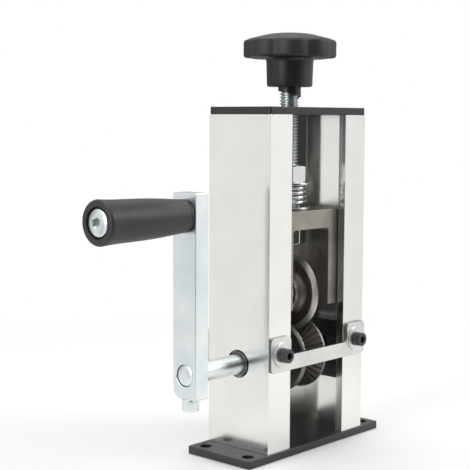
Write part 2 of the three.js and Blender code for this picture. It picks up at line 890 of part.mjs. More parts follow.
function carriage() {
  const outline = roundedShape([
    [-carriageSide, legBottom, 0],
    [-legInner, legBottom, 0],
    [-legInner, barBottom, carriageCornerRadius],
    [legInner, barBottom, carriageCornerRadius],
    [legInner, legBottom, 0],
    [carriageSide, legBottom, 0],
    [carriageSide, barTop, 0],
    [-carriageSide, barTop, 0],
  ]);
  const screwHole = rod(screwRadius + roundGap, barBottom - 1, barTop + 1, turnedSides);
  const axleHole = atAxle(rod(axleRadius + roundGap, -axleEnd, axleEnd, turnedSides));
  const setHole = rod(axleScrewRadius + roundGap, legBottom - 1, axleZ, smallSides)
    .translate([axleScrewX, 0, 0]);
  const tools = [screwHole, axleHole, setHole, mirroredX(setHole)];
  return cut(prismAlongY(outline, -carriageFace, carriageFace), tools);
}

addPiece("carriage", carriage(), "machinedSteel");

// Adjusting screw with its nuts, washers and spring

function adjustingScrew() {
  const top = knobBottom + screwInKnob;
  return turned([
    [0, screwBottom],
    [screwRadius - screwTipChamfer, screwBottom],
    [screwRadius, screwBottom + screwTipChamfer],
    [screwRadius, top],
    [0, top],
  ], turnedSides);
}

// A hexagon nut about Z with both its faces chamfered
function nut(low, turn) {
  const corner = nutWidth / Math.sqrt(3);
  const high = low + nutHeight;
  const chamfers = turned([
    [0, low],
    [nutWidth / 2, low],
    [corner, low + nutChamferHeight],
    [corner, high - nutChamferHeight],
    [nutWidth / 2, high],
    [0, high],
  ], nutChamferSides);
  const bore = rod(screwRadius + roundGap, low - 1, high + 1, turnedSides);
  return cut(hexagon(nutWidth, low, high).rotate([0, 0, turn]).intersect(chamfers), [bore]);
}

function springWasher(low) {
  return ring(screwRadius + roundGap, springWasherRadius, low, low + springWasherThickness, turnedSides);
}

// One unbroken wire: a helix of even pitch with a straight end at either side
function pressureSpring() {
  const meanRadius = springOuterRadius - springWireRadius;
  const low = springBottom + springWireRadius + roundGap;
  const high = springTop - springWireRadius - roundGap;
  const pitch = (high - low) / springTurns;
  const steps = springTurns * springStepsPerTurn;
  const rise = pitch / (2 * Math.PI);
  const tilt = Math.atan2(rise, meanRadius);
  const straight = 2 * springWireRadius;

  const pointAt = (step) => {
    const inside = Math.min(Math.max(step, 0), steps);
    const angle = (inside / springStepsPerTurn) * 2 * Math.PI;
    const beyond = (step - inside) * straight;
    const outward = new THREE.Vector3(Math.cos(angle), Math.sin(angle), 0);
    const along = new THREE.Vector3(-Math.sin(angle), Math.cos(angle), Math.tan(tilt)).normalize();
    const upward = new THREE.Vector3().crossVectors(outward, along);
    const centre = outward.clone().multiplyScalar(meanRadius).setZ(low + rise * angle);
    return { centre: centre.addScaledVector(along, beyond), outward, upward };
  };

  const rings = Array.from({ length: steps + 3 }, (_, i) => {
    const { centre, outward, upward } = pointAt(i - 1);
    return Array.from({ length: springSides }, (__, side) => {
      const turn = (-side / springSides) * 2 * Math.PI;
      const point = centre.clone();
      point.addScaledVector(outward, springWireRadius * Math.cos(turn));
      point.addScaledVector(upward, springWireRadius * Math.sin(turn));
      return point.toArray();
    });
  });

  const points = rings.flat().map((point) => new THREE.Vector3(...point));
  const nearlyOneTurn = springSides * (springStepsPerTurn - 3);
  const gaps = points.flatMap((point, i) =>
    points.slice(i + nearlyOneTurn).map((other) => point.distanceTo(other)));
  console.log(`pressure_spring: least gap between turns ${Math.min(...gaps).toFixed(2)} mm`);
  return skinned(rings);
}

addPiece("adjusting_screw", adjustingScrew(), "zincSteel");
addPiece("upper_nut", nut(upperNutBottom, upperNutTurn), "zincSteel");
addPiece("upper_spring_washer", springWasher(springTop), "zincSteel");
addPiece("pressure_spring", pressureSpring(), "springSteel");
addPiece("lower_spring_washer", springWasher(barTop), "zincSteel");
addPiece("lower_nut", nut(lowerNutBottom, lowerNutTurn), "zincSteel");

// Star knob: a lobed rim under a low dome, on a tapered hub

// A ring round the knob's axis, whose valleys between the lobes have a share of their depth
function knobRing(outerRadius, valleyShare, height) {
  const half = Math.PI / knobLobes;
  const lobeCentre = knobRadius - knobLobeRadius;
  const count = knobLobes * lobeSides;
  return Array.from({ length: count }, (_, i) => {
    const fromLobe = ((i % lobeSides) / lobeSides) * 2 * half - half;
    const across = lobeCentre * Math.sin(fromLobe);
    const lobed = lobeCentre * Math.cos(fromLobe) + Math.sqrt(knobLobeRadius ** 2 - across ** 2);
    const radius = outerRadius - valleyShare * (knobRadius - lobed);
    const angle = (i * 2 * Math.PI) / count - half + THREE.MathUtils.degToRad(knobLobeTurn);
    return [radius * Math.cos(angle), radius * Math.sin(angle), height];
  });
}

// The collar's lower face climbs round the screw in one turn, as a helix
function knobCollar() {
  const at = (i, radius, height) => {
    const angle = (i * 2 * Math.PI) / collarSides + THREE.MathUtils.degToRad(knobCollarTurn);
    return [radius * Math.cos(angle), radius * Math.sin(angle), height];
  };
  const top = knobBottom + knobHubRounding;
  const dropAt = (i) =>
    knobCollarShortest + ((knobCollarLongest - knobCollarShortest) * i) / collarSides;
  const steps = Array.from({ length: collarSides + 1 }, (_, i) => i);
  const axis = steps.map((i) => at(0, 0, knobBottom - dropAt(i)));
  const edge = steps.map((i) => at(i, knobCollarRadius, knobBottom - dropAt(i)));
  const rim = steps.map((i) => at(i, knobCollarRadius, top));
  const centre = [0, 0, top];
  const upper = [...edge.slice(0, -1), edge[0]];
  const faces = steps.slice(0, -1).flatMap((i) => [
    [axis[i], edge[i + 1], edge[i]],
    [axis[i], axis[i + 1], edge[i + 1]],
    [edge[i], upper[i + 1], rim[i]],
    [upper[i + 1], rim[i + 1], rim[i]],
    [rim[i], rim[i + 1], centre],
    [edge[0], axis[i + 1], axis[i]],
  ]);
  faces.push([edge[0], edge[collarSides], axis[collarSides]]);
  faces.push([edge[collarSides - 1], edge[collarSides], edge[0]]);
  const geometry = new THREE.BufferGeometry();
  geometry.setAttribute("position", new THREE.Float32BufferAttribute(faces.flat(2), 3));
  return solidOf(geometry);
}

function knob() {
  const body = skinned([
    knobRing(knobHubBottomRadius - knobHubRounding, 0, knobBottom),
    knobRing(knobHubBottomRadius, 0, knobBottom + knobHubRounding),
    knobRing(knobHubTopRadius, 0, rimBottom - knobUnderRounding),
    knobRing(knobHubTopRadius + knobUnderRounding, 0, rimBottom),
    knobRing(knobRadius - knobRimRounding, 1, rimBottom),
    knobRing(knobRadius, 1, rimBottom + knobRimRounding),
    knobRing(knobRadius, 1, rimTop - knobRimRounding),
    knobRing(knobRadius - knobRimRounding, 1, rimTop),
    knobRing(knobDomeRadius, 0, knobTop - knobDomeHeight / 3),
    knobRing(knobDomeFlatRadius, 0, knobTop),
  ]);
  const insertTop = knobBottom + knobInsertLength + roundGap;
  const insertSeat = rod(knobInsertRadius + roundGap, knobBottom + knobHubRounding, insertTop, 6);
  const screwHole = rod(screwRadius + roundGap, knobBottom - knobCollarLongest - 1, insertTop, turnedSides);
  return cut(body.add(knobCollar()), [insertSeat, screwHole]);
}

function knobInsert() {
  const low = knobBottom + knobHubRounding + roundGap;
  const high = knobBottom + knobInsertLength;
  const body = rod(knobInsertRadius, low, high, 6);
  return cut(body, [rod(screwRadius + roundGap, low - 1, high + 1, turnedSides)]);
}

addPiece("knob", knob(), "blackPlastic");
addPiece("knob_insert", knobInsert(), "zincSteel");

export default stripper;
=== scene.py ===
import json
import math

import bmesh
import bpy
from mathutils import Matrix, Vector


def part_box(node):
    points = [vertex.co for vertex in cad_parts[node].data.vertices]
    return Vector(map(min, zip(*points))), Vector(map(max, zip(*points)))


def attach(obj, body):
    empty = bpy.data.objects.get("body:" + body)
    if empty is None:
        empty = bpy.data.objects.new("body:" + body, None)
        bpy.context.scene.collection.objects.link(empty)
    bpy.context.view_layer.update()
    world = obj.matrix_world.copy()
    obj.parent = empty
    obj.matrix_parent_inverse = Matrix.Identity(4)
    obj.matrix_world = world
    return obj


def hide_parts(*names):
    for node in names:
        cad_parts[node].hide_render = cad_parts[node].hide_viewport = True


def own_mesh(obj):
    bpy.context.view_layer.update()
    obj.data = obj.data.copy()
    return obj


# The hand crank wire stripper dressed for a studio picture. Shapes are made in millimetres
# and scaled to metres at the end; places and sizes come from the frame's boxes.

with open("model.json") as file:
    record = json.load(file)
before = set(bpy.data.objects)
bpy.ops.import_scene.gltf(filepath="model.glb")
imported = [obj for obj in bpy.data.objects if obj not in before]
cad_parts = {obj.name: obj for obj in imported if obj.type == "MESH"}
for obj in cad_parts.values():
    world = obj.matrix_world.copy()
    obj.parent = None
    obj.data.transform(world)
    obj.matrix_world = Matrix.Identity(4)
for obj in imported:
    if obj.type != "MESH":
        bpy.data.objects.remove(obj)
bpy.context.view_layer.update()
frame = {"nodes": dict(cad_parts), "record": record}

MM = 0.001
BODIES = frame["record"]["behaviour"]["bodies"]
BODY_OF = {node: body for body, nodes in BODIES.items() for node in nodes}
SLOT_OF = {row["node"]: row["material_slot"] for row in frame["record"]["subparts"]}

SIDES = ("left", "right")
CORNERS = ("right_rear", "left_rear", "right_front", "left_front")

# The two axes across each axis
ACROSS = {"X": "yz", "Y": "xz", "Z": "xy"}


def box(node):
    """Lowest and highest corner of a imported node, in millimetres."""
    low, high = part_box(node)
    return Vector(low) / MM, Vector(high) / MM


def middle(node):
    low, high = box(node)
    return (low + high) / 2


def round_box(node, axis="X"):
    """A round node's radius, its two ends along its axis, and its centre across it."""
    low, high = box(node)
    radius = (high.z - low.z) / 2 if axis == "X" else (high.x - low.x) / 2
    along = "XYZ".index(axis)
    return radius, low[along], high[along], getattr(middle(node), ACROSS[axis])


SHAFT_CENTRE = middle("drive_shaft").yz

# Radii of the drive shaft and the wheel axle, and the gaps of what sits on them
SHAFT_RADIUS = 6
AXLE_RADIUS = 5
RING_GAP = 0.15
CRANK_SLEEVE_GAP = 0.1
BORE_GAP = 0.3


# Camera, at the photograph's angle

CAMERA_PLACE = Vector((-551.5, -455.6, 201.6))
# Yaw from +Y, pitch down and roll, in radians
CAMERA_TURN = (0.8341, 0.09985, 0.00471)
CAMERA_LENS = 88.53
CAMERA_SENSOR = 36


def add_camera():
    yaw, pitch, roll = CAMERA_TURN
    ahead = Vector((math.sin(yaw) * math.cos(pitch), math.cos(yaw) * math.cos(pitch), -math.sin(pitch)))
    level = Vector((math.cos(yaw), -math.sin(yaw), 0))
    upright = level.cross(ahead)
    right = math.cos(roll) * level + math.sin(roll) * upright
    up = math.cos(roll) * upright - math.sin(roll) * level
    facing = Matrix((right, up, -ahead)).transposed().to_4x4()
    data = bpy.data.cameras.new("camera")
    data.lens = CAMERA_LENS
    data.sensor_width = CAMERA_SENSOR
    camera = bpy.data.objects.new("camera", data)
    camera.matrix_world = Matrix.Translation(CAMERA_PLACE * MM) @ facing
    bpy.context.scene.collection.objects.link(camera)
    bpy.context.scene.camera = camera


add_camera()


# Node tools for the materials

def rgb(red, green, blue):
    """A colour from 0 to 255 as it shows on a screen, as linear light."""
    def linear(value):
        value /= 255
        return value / 12.92 if value <= 0.04045 else ((value + 0.055) / 1.055) ** 2.4
    return (linear(red), linear(green), linear(blue), 1.0)


def new_material(name, metallic):
    made = bpy.data.materials.new(name)
    made.use_nodes = True
    shader = made.node_tree.nodes["Principled BSDF"]
    shader.inputs["Metallic"].default_value = metallic
    return made, made.node_tree, shader


def add_node(tree, kind, inputs, **settings):
    """A shader node with its settings; an input gets another node's output or a fixed value."""
    node = tree.nodes.new(f"ShaderNode{kind}")
    for name, value in settings.items():
        setattr(node, name, value)
    for name, source in inputs.items():
        if isinstance(source, bpy.types.NodeSocket):
            tree.links.new(source, node.inputs[name])
        else:
            node.inputs[name].default_value = source
    return node


def math_node(tree, operation, *sources):
    return add_node(tree, "Math", dict(enumerate(sources)), operation=operation).outputs[0]


def mixed(tree, factor, first, second):
    """The first colour where the factor is 0, and the second where it is 1."""
    node = add_node(tree, "Mix", {"A": first, "B": second, "Factor": factor}, data_type="RGBA")
    return node.outputs["Result"]


def noise_field(tree, cells_per_mm, detail=3.0):
    """Noise over the piece's own coordinates, with a cell size of its own along each axis."""
    place = add_node(tree, "TexCoord", {}).outputs["Object"]
    scale = [cells / MM for cells in cells_per_mm]
    mapping = add_node(tree, "Mapping", {"Scale": scale, "Vector": place})
    settings = {"Scale": 1, "Detail": detail, "Vector": mapping.outputs["Vector"]}
    return add_node(tree, "TexNoise", settings).outputs["Fac"]


def spread(tree, source, low, high, source_low=0.3, source_high=0.7):
    """The middle of a noise's range spread over low to high."""
    return add_node(tree, "MapRange", {
        "Value": source, "From Min": source_low, "From Max": source_high, "To Min": low, "To Max": high,
    }).outputs["Result"]


# How convex an edge is where its wear starts, and where it is full
WORN_EDGE = (0.53, 0.62)


def finished(name, metallic, tones, roughness, grain, patches, detail, relief, wear=None):
    """Soft patches of two tones, and a grain that sets gloss and relief; edges rub to the wear's colour.

    The relief is the bump's strength and its depth in millimetres.
    """
    made, tree, shader = new_material(name, metallic)
    patchwork = spread(tree, noise_field(tree, patches, detail), 0, 1)
    colour = mixed(tree, patchwork, rgb(*tones[0]), rgb(*tones[1]))
    if wear:
        geometry = add_node(tree, "NewGeometry", {})
        edge = spread(tree, geometry.outputs["Pointiness"], 0, 1, *WORN_EDGE)
        colour = mixed(tree, edge, colour, rgb(*wear))
    tree.links.new(colour, shader.inputs["Base Color"])
    lines = noise_field(tree, grain)
    tree.links.new(spread(tree, lines, *roughness), shader.inputs["Roughness"])
    strength, depth = relief
    bump = add_node(tree, "Bump", {"Strength": strength, "Distance": depth * MM, "Height": lines})
    tree.links.new(bump.outputs["Normal"], shader.inputs["Normal"])
    return made


def drawn(made, smear=0.7, quarter_turn=0.25):
    """Metal whose reflections are smeared up and down more than across."""
    tree = made.node_tree
    shader = tree.nodes["Principled BSDF"]
    shader.inputs["Anisotropic"].default_value = smear
    shader.inputs["Anisotropic Rotation"].default_value = quarter_turn
    tangent = add_node(tree, "Tangent", {}, direction_type="RADIAL", axis="Z")
    tree.links.new(tangent.outputs["Tangent"], shader.inputs["Tangent"])


# Grains and patches, in cells per millimetre along each axis
EVEN = (3.0, 3.0, 3.0)
LENGTHWISE = (6.0, 6.0, 0.02)
ACROSS_X = (0.05, 5.0, 5.0)
MACHINED = (0.4, 3.0, 3.0)
GROUND = (0.4, 5.0, 5.0)
METAL_PATCHES = (0.05, 0.05, 0.05)
SIDE_SHADE_PATCHES = (0.15, 0.15, 0.05)
COAT_PATCHES = (0.08, 0.08, 0.08)
METAL_RELIEF = (0.2, 0.02)
COAT_RELIEF = (0.3, 0.03)
METAL_DETAIL = 4.0
COAT_DETAIL = 5.0

# Bare and plated metals, as (dark tone, light tone, roughness, grain) and what else isn't the usual
METALS = {
    "mill_aluminium": (
        (235, 235, 231), (241, 241, 237), (0.13, 0.19), LENGTHWISE, METAL_PATCHES, (0.02, 0.02)),
    "zinc_steel": ((222, 230, 231), (240, 246, 246), (0.22, 0.34), EVEN, METAL_PATCHES, (0.1, 0.02)),
    # Painted shade: a darker copy of the zinc for the thread's roots, where shadow falls between the flanks
    "painted_shade_thread_root": ((158, 166, 168), (182, 190, 192), (0.3, 0.42), EVEN),
    "guide_steel": ((212, 213, 210), (230, 230, 227), (0.28, 0.42), EVEN),
    # Painted dark reflection for the front guide bar's edge faces
    "painted_shade_guide_edge": ((112, 112, 110), (142, 142, 139), (0.4, 0.55), EVEN),
    "bearing_steel": ((150, 153, 156), (178, 181, 184), (0.15, 0.3), ACROSS_X),
    "sleeve_steel": ((104, 106, 108), (132, 134, 136), (0.2, 0.35), ACROSS_X),
    "machined_steel": (
        (140, 136, 129), (168, 164, 156), (0.42, 0.58), MACHINED, METAL_PATCHES, (0.45, 0.02)),
    # Painted shade: a darker copy of the carriage's steel for its side, top, bottom and inner faces
    "painted_shade_side_steel": ((112, 109, 103), (144, 140, 132), (0.48, 0.64), EVEN, SIDE_SHADE_PATCHES),
    "blade_steel": ((108, 101, 93), (132, 125, 116), (0.4, 0.56), GROUND),
    "blade_edge": ((200, 197, 191), (222, 219, 213), (0.28, 0.4), GROUND),
    "roller_steel": ((104, 100, 95), (130, 126, 120), (0.44, 0.6), EVEN),
    "roller_land": ((122, 119, 114), (142, 139, 134), (0.4, 0.55), ACROSS_X),
    "spring_steel": ((214, 217, 216), (232, 234, 233), (0.12, 0.25), EVEN),
}

# Paint, black oxide and moulded plastic, as (dark tone, light tone, roughness) and the wear's colour
COATS = {
    "black_plate": ((31, 31, 33), (42, 42, 44), (0.26, 0.38), (92, 92, 94)),
    "black_block": ((26, 26, 28), (36, 36, 38), (0.35, 0.5)),
    "black_steel": ((30, 31, 33), (46, 47, 49), (0.3, 0.45), (90, 92, 94)),
    "black_plastic": ((28, 28, 28), (36, 36, 36), (0.3, 0.42)),
    "matt_plastic": ((32, 32, 32), (40, 40, 40), (0.46, 0.58)),
    "grip_plastic": ((38, 38, 39), (47, 47, 48), (0.42, 0.55)),
}


def metal(name, dark, light, roughness, grain, patches=METAL_PATCHES, relief=METAL_RELIEF):
    return finished(name, 1.0, (dark, light), roughness, grain, patches, METAL_DETAIL, relief)


def coat(name, dark, light, roughness, wear=None):
    return finished(name, 0.0, (dark, light), roughness, EVEN, COAT_PATCHES, COAT_DETAIL, COAT_RELIEF, wear)


MATERIALS = {name: metal(name, *look) for name, look in METALS.items()}
MATERIALS.update({name: coat(name, *look) for name, look in COATS.items()})
drawn(MATERIALS["mill_aluminium"])


# Shape tools

TO_SPACE = {
    "X": lambda a, b, along: (along, a, b),
    "Y": lambda a, b, along: (a, along, b),
    "Z": lambda a, b, along: (a, b, along),
}
MERGED_BELOW = 1e-4
POLE_RADIUS = 1e-6
SHARP_DEGREES = 32
BEVEL_STEPS = 3


def full_turn(sides):
    return [math.tau * i / sides for i in range(sides)]


def quarter(steps):
    return [math.pi / 2 * i / steps for i in range(steps + 1)]


def rounding(radius, face, size, way, steps):
    """A quarter round from a face's edge out to the radius; the way is where it goes along the axis."""
    return [
        (radius - size * (1 - math.sin(turn)), face + way * size * (1 - math.cos(turn)))
        for turn in quarter(steps)
    ]


def around(angle, radius, centre=(0, 0)):
    """The point at an angle and a radius round a centre."""
    return Vector((centre[0] + radius * math.cos(angle), centre[1] + radius * math.sin(angle)))


def rounded(corners, steps=6):
    """Points round (x, y, radius) corners, with an arc at each."""
    points = []
    for i, (x, y, radius) in enumerate(corners):
        here = Vector((x, y))
        before = (Vector(corners[i - 1][:2]) - here).normalized()
        after = (Vector(corners[(i + 1) % len(corners)][:2]) - here).normalized()
        half = before.angle(after) / 2
        centre = here + (before + after).normalized() * (radius / math.sin(half))
        start = here + before * (radius / math.tan(half)) - centre
        end = here + after * (radius / math.tan(half)) - centre
        first = math.atan2(start.y, start.x)
        sweep = (math.atan2(end.y, end.x) - first + math.pi) % math.tau - math.pi
        for step in range(steps + 1):
            points.append(around(first + sweep * step / steps, radius, centre))
    return points


def circle(radius, centre=(0, 0), sides=48):
    return [around(angle, radius, centre) for angle in full_turn(sides)]


def rectangle(low, high, radius):
    return rounded([
        (low[0], low[1], radius), (high[0], low[1], radius),
        (high[0], high[1], radius), (low[0], high[1], radius),
    ])


def counterclockwise(loop):
    area = sum(a.x * b.y - b.x * a.y for a, b in zip(loop, loop[1:] + loop[:1]))
    return loop if area > 0 else loop[::-1]


def grown(loop, distance):
    """The loop moved outwards by a distance, or inwards where it is negative."""
    moved = []
    for before, here, after in zip(loop[-1:] + loop[:-1], loop, loop[1:] + loop[:1]):
        first = (here - before).normalized()
        second = (after - here).normalized()
        normals = Vector((first.y + second.y, -first.x - second.x))
        moved.append(here + normals * (distance / (1 + first.dot(second))))
    return moved


def bridge(bm, first, second):
    """Faces between two rings of vertices; a ring of one vertex is a pole."""
    count = max(len(first), len(second))
    for i in range(count):
        j = (i + 1) % count
        picked = ((first, i), (first, j), (second, j), (second, i))
        unique = list(dict.fromkeys(verts[k % len(verts)] for verts, k in picked))
        if len(unique) > 2:
            bm.faces.new(unique)


def turned(profile, axis="Z", centre=(0, 0), sides=96, closed=False, angles=None):
    """A profile of (radius, along) points turned about an axis; a point may also depend on the angle."""
    bm = bmesh.new()
    rings = []
    for point in profile:
        at_angles = [
            (angle, *(point(angle) if callable(point) else point)) for angle in angles or full_turn(sides)
        ]
        if max(radius for _, radius, _ in at_angles) < POLE_RADIUS:
            at_angles = at_angles[:1]
        rings.append([
            bm.verts.new(TO_SPACE[axis](*around(angle, radius, centre), along))
            for angle, radius, along in at_angles
        ])
    following = rings[1:] + (rings[:1] if closed else [])
    for first, second in zip(rings, following):
        bridge(bm, first, second)
    return bm


def ring(inner, outer, low, high, axis="Z", centre=(0, 0), ease=0.3):
    """A flat ring, its four edges rounded by ease."""
    corners = ((inner, low), (outer, low), (outer, high), (inner, high))
    profile = rounded([(*corner, ease) for corner in corners], steps=3)
    return turned(profile, axis, centre, closed=True)


def rod(radius, low, high, axis="Z", centre=(0, 0), sides=96):
    """A plain cylinder, to cut a hole with."""
    return turned([(0, low), (radius, low), (radius, high), (0, high)], axis, centre, sides)


def swept(sections):
    """A solid with flat ends, through a row of sections with as many points each."""
    bm = bmesh.new()
    rings = [[bm.verts.new(point) for point in section] for section in sections]
    for first, second in zip(rings, rings[1:]):
        bridge(bm, first, second)
    bm.faces.new(rings[0])
    bm.faces.new(rings[-1])
    return bm


def pushed(outline, low, high, axis="Z", holes=(), bevel=0.4):
    """An outline pushed along an axis, with round bevels along all its edges, and with holes."""
    bm = bmesh.new()
    caps = ([], [])
    near = rounding(0, low, bevel, 1, BEVEL_STEPS)
    far = rounding(0, high, bevel, -1, BEVEL_STEPS)[::-1]
    for loop, outwards in [(outline, 1)] + [(hole, -1) for hole in holes]:
        loop = counterclockwise(loop)
        rings = []
        for growth, along in near + far:
            points = grown(loop, outwards * growth)
            rings.append([bm.verts.new(TO_SPACE[axis](point.x, point.y, along)) for point in points])
        for first, second in zip(rings, rings[1:]):
            bridge(bm, first, second)
        for cap, end in zip(caps, (rings[0], rings[-1])):
            cap += [bm.edges.get(pair) for pair in zip(end, end[1:] + end[:1])]
    for cap in caps:
        bmesh.ops.triangle_fill(bm, use_beauty=True, edges=cap)
    return bm


def to_object(name, bm, sharp_degrees=SHARP_DEGREES, flat=False):
    """A bmesh in millimetres as an object in metres, smooth up to a sharp angle."""
    bmesh.ops.remove_doubles(bm, verts=bm.verts, dist=MERGED_BELOW)
    bmesh.ops.recalc_face_normals(bm, faces=bm.faces)
    bmesh.ops.scale(bm, vec=(MM, MM, MM), verts=bm.verts)
    data = bpy.data.meshes.new(name)
    bm.to_mesh(data)
    bm.free()
    data.polygons.foreach_set("use_smooth", [True] * len(data.polygons))
    data.set_sharp_from_angle(angle=math.radians(sharp_degrees))
    made = bpy.data.objects.new(name, data)
    bpy.context.scene.collection.objects.link(made)
    if flat:
        made.modifiers.new("flat_faces", "WEIGHTED_NORMAL").keep_sharp = True
    return made


def carved(target, *cutters):
    """Cuts bmeshes out of an object for good, and leaves its own modifiers as they are."""
    for bm in cutters:
        cutter = to_object("cutter", bm)
        cut = target.modifiers.new("cut", "BOOLEAN")
        cut.object = cutter
        cut.solver = "EXACT"
        target.modifiers.move(len(target.modifiers) - 1, 0)
        kept = [m for m in target.modifiers if m != cut]
        for m in kept:
            m.show_render = m.show_viewport = False
        graph = bpy.context.evaluated_depsgraph_get()
        data = bpy.data.meshes.new_from_object(target.evaluated_get(graph))
        target.modifiers.remove(cut)
        for m in kept:
            m.show_render = m.show_viewport = True
        target.data = data
        data.set_sharp_from_angle(angle=math.radians(SHARP_DEGREES))
        bpy.data.objects.remove(cutter)


def put(node, bm, material=None, **settings):
    """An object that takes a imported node's place, body and slot, with the slot's material or another."""
    made = to_object(f"{node}_dressed", bm, **settings)
    made.data.materials.append(MATERIALS[material or SLOT_OF[node]])
    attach(made, BODY_OF[node])
    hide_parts(node)
    return made


def second_material(made, name, chosen):
    """Another material on the faces picked by their middle, in millimetres, and their normal."""
    made.data.materials.append(MATERIALS[name])
    for face in made.data.polygons:
        if chosen(Vector(face.center) / MM, face.normal):
            face.material_index = len(made.data.materials) - 1


def dress_ring(node, bore, axis="X", ease=0.3, material=None):
    radius, low, high, centre = round_box(node, axis)
    put(node, ring(bore, radius, low, high, axis, centre, ease), material)


def hexagon(apothem, turn=0.0):
    """The radius of a hexagon of that half width across flats, by angle; a flat faces the turn."""
    def radius(angle):
        from_flat = (angle - turn + math.pi / 6) % (math.pi / 3) - math.pi / 6
        return apothem / math.cos(from_flat)
    return radius


def hex_point(apothem, along):
    radius = hexagon(apothem)
    return lambda angle: (radius(angle), along)


# Socket head screws, as (shank radius, tip chamfer, socket across flats, socket depth, flutes)
GUIDE_SCREW = (2.5, 0.7, 4.0, 2.6, 36)
CLAMP_SCREW = (3, 0.8, 5.0, 3.0, 40)
FLUTE_DEPTH = 0.12
HEAD_EASE = 0.5
HEAD_FOOT_EASE = 0.3
SHANK_TIP_STEP = 0.5
SOCKET_MOUTH = 0.25


def dress_socket_screw(node, axis, way, seat, sizes):
    """A screw with a fluted head, which is at its upper end along the axis where the way is 1."""
    shank, tip_chamfer, socket, depth, flutes = sizes
    head, low, high, centre = round_box(node, axis)
    tip, top = (low, high)[::way]
    apothem = socket / 2

    def rim(along):
        return lambda angle: (head - FLUTE_DEPTH * (0.5 + 0.5 * math.cos(flutes * angle)), along)

    put(node, turned([
        (0, tip), (shank - SHANK_TIP_STEP, tip), (shank, tip + way * tip_chamfer),
        (shank, seat), (head - HEAD_FOOT_EASE, seat),
        rim(seat + way * HEAD_FOOT_EASE), rim(top - way * HEAD_EASE),
        (head - HEAD_EASE * 0.3, top - way * HEAD_EASE * 0.3), (head - HEAD_EASE, top),
        hex_point(apothem + SOCKET_MOUTH, top), hex_point(apothem, top - way * SOCKET_MOUTH),
        hex_point(apothem, top - way * depth), (0, top - way * (depth + apothem * 0.3)),
    ], axis, centre, 4 * flutes))


# Plates and their screws

PLATE_CORNER = 1.5
PLATE_BEVEL = 0.35
MOUNT_HOLE = 3.5
MOUNT_HOLE_FROM_END = 7.5
MOUNT_HOLE_FROM_SIDE = 8
PLATE_SCREW_HOLE = 3.0
TOP_PLATE_HOLE = 6.25
PLATE_SCREW_SHANK_SHARE = 0.55
PLATE_SCREW_TIP = 0.5
PLATE_SCREW_LAND = 0.25
PLATE_SCREW_SOCKET = 1.0
PLATE_SCREW_SOCKET_DEPTH = 1.2


def dress_plate(node, holes):
    """A plate with holes of its own and one for each corner's screw."""
    low, high = box(node)
    for corner in CORNERS:
        holes.append(circle(PLATE_SCREW_HOLE, middle(f"{corner}_{node}_screw").xy))
    outline = rectangle(low, high, PLATE_CORNER)
    put(node, pushed(outline, low.z, high.z, holes=holes, bevel=PLATE_BEVEL), flat=True)


def dress_plates():
    high = box("base_plate")[1]
    mount_x = high.x - MOUNT_HOLE_FROM_END
    mount_y = high.y - MOUNT_HOLE_FROM_SIDE
    mounts = [(i * mount_x, j * mount_y) for i in (-1, 1) for j in (-1, 1)]
    dress_plate("base_plate", [circle(MOUNT_HOLE, place) for place in mounts])
    dress_plate("top_plate", [circle(TOP_PLATE_HOLE)])


def dress_plate_screw(node, way):
    """A countersunk screw; the way is 1 where its head is at the top, and -1 at the bottom."""
    head, low, high, centre = round_box(node, "Z")
    tip_end, head_end = (low, high)[::way]
    shank = head * PLATE_SCREW_SHANK_SHARE
    socket = PLATE_SCREW_SOCKET
    put(node, turned([
        (0, tip_end), (shank * 0.8, tip_end), (shank, tip_end + way * PLATE_SCREW_TIP),
        (shank, head_end - way * (head - shank + 0.3)),
        (head, head_end - way * PLATE_SCREW_LAND), (head - 0.1, head_end),
        hex_point(socket + 0.05, head_end), hex_point(socket, head_end - way * 0.1),
        hex_point(socket, head_end - way * PLATE_SCREW_SOCKET_DEPTH),
        (0, head_end - way * (PLATE_SCREW_SOCKET_DEPTH + 0.3)),
    ], centre=centre, sides=48))


# Channels

CHANNEL_WALL = 5
CHANNEL_FILLET = 0.6
CHANNEL_EDGE = 0.2
CHANNEL_BEVEL = 0.15
SHAFT_HOLE = 8.5
OVERCUT = 1


def dress_channel(side):
    node = f"{side}_channel"
    low, high = box(node)
    way = -1 if side == "left" else 1
    outer, tip = sorted((abs(low.x), abs(high.x)), reverse=True)
    inner, face = outer - CHANNEL_WALL, high.y
    inner_face = face - CHANNEL_WALL
    half = [
        (way * outer, face, CHANNEL_EDGE), (way * tip, face, CHANNEL_EDGE),
        (way * tip, inner_face, CHANNEL_EDGE), (way * inner, inner_face, CHANNEL_FILLET),
    ]
    outline = rounded(half + [(x, -y, radius) for x, y, radius in reversed(half)], steps=4)
    made = put(node, pushed(outline, low.z, high.z, bevel=CHANNEL_BEVEL), flat=True)
    hole_ends = (way * (inner - OVERCUT), way * (outer + OVERCUT))
    carved(made, rod(SHAFT_HOLE, *hole_ends, "X", SHAFT_CENTRE))


# Guide bars, washers and screws

GUIDE_TAB_WIDTH = 18.5
GUIDE_BAR_HEIGHT = 9.2
GUIDE_ROUNDING = 3.0
GUIDE_BEVEL = 0.25
GUIDE_SCREW_HOLE = 2.8
WASHER_EASE = 0.2

# A face of the front bar's edge gets a darker colour, a painted dark reflection, where its normal's share
# along Y is below this
GUIDE_SHADE_FACING = 0.8


def dress_guide(end):
    low, high = box(f"{end}_guide_bar")
    tab = high.x - GUIDE_TAB_WIDTH
    bar = low.z + GUIDE_BAR_HEIGHT
    outline = rounded([(x, z, GUIDE_ROUNDING) for x, z in (
        (low.x, low.z), (high.x, low.z), (high.x, high.z), (tab, high.z),
        (tab, bar), (-tab, bar), (-tab, high.z), (low.x, high.z),
    )])
    holes = [circle(GUIDE_SCREW_HOLE, middle(f"{side}_{end}_guide_screw").xz) for side in SIDES]
    made = put(f"{end}_guide_bar", pushed(outline, low.y, high.y, "Y", holes, GUIDE_BEVEL), flat=True)
    if end == "front":
        # Only the front bar's edge gets the painted dark reflection
        second_material(made, "painted_shade_guide_edge", lambda place, normal: abs(normal.y) < GUIDE_SHADE_FACING)


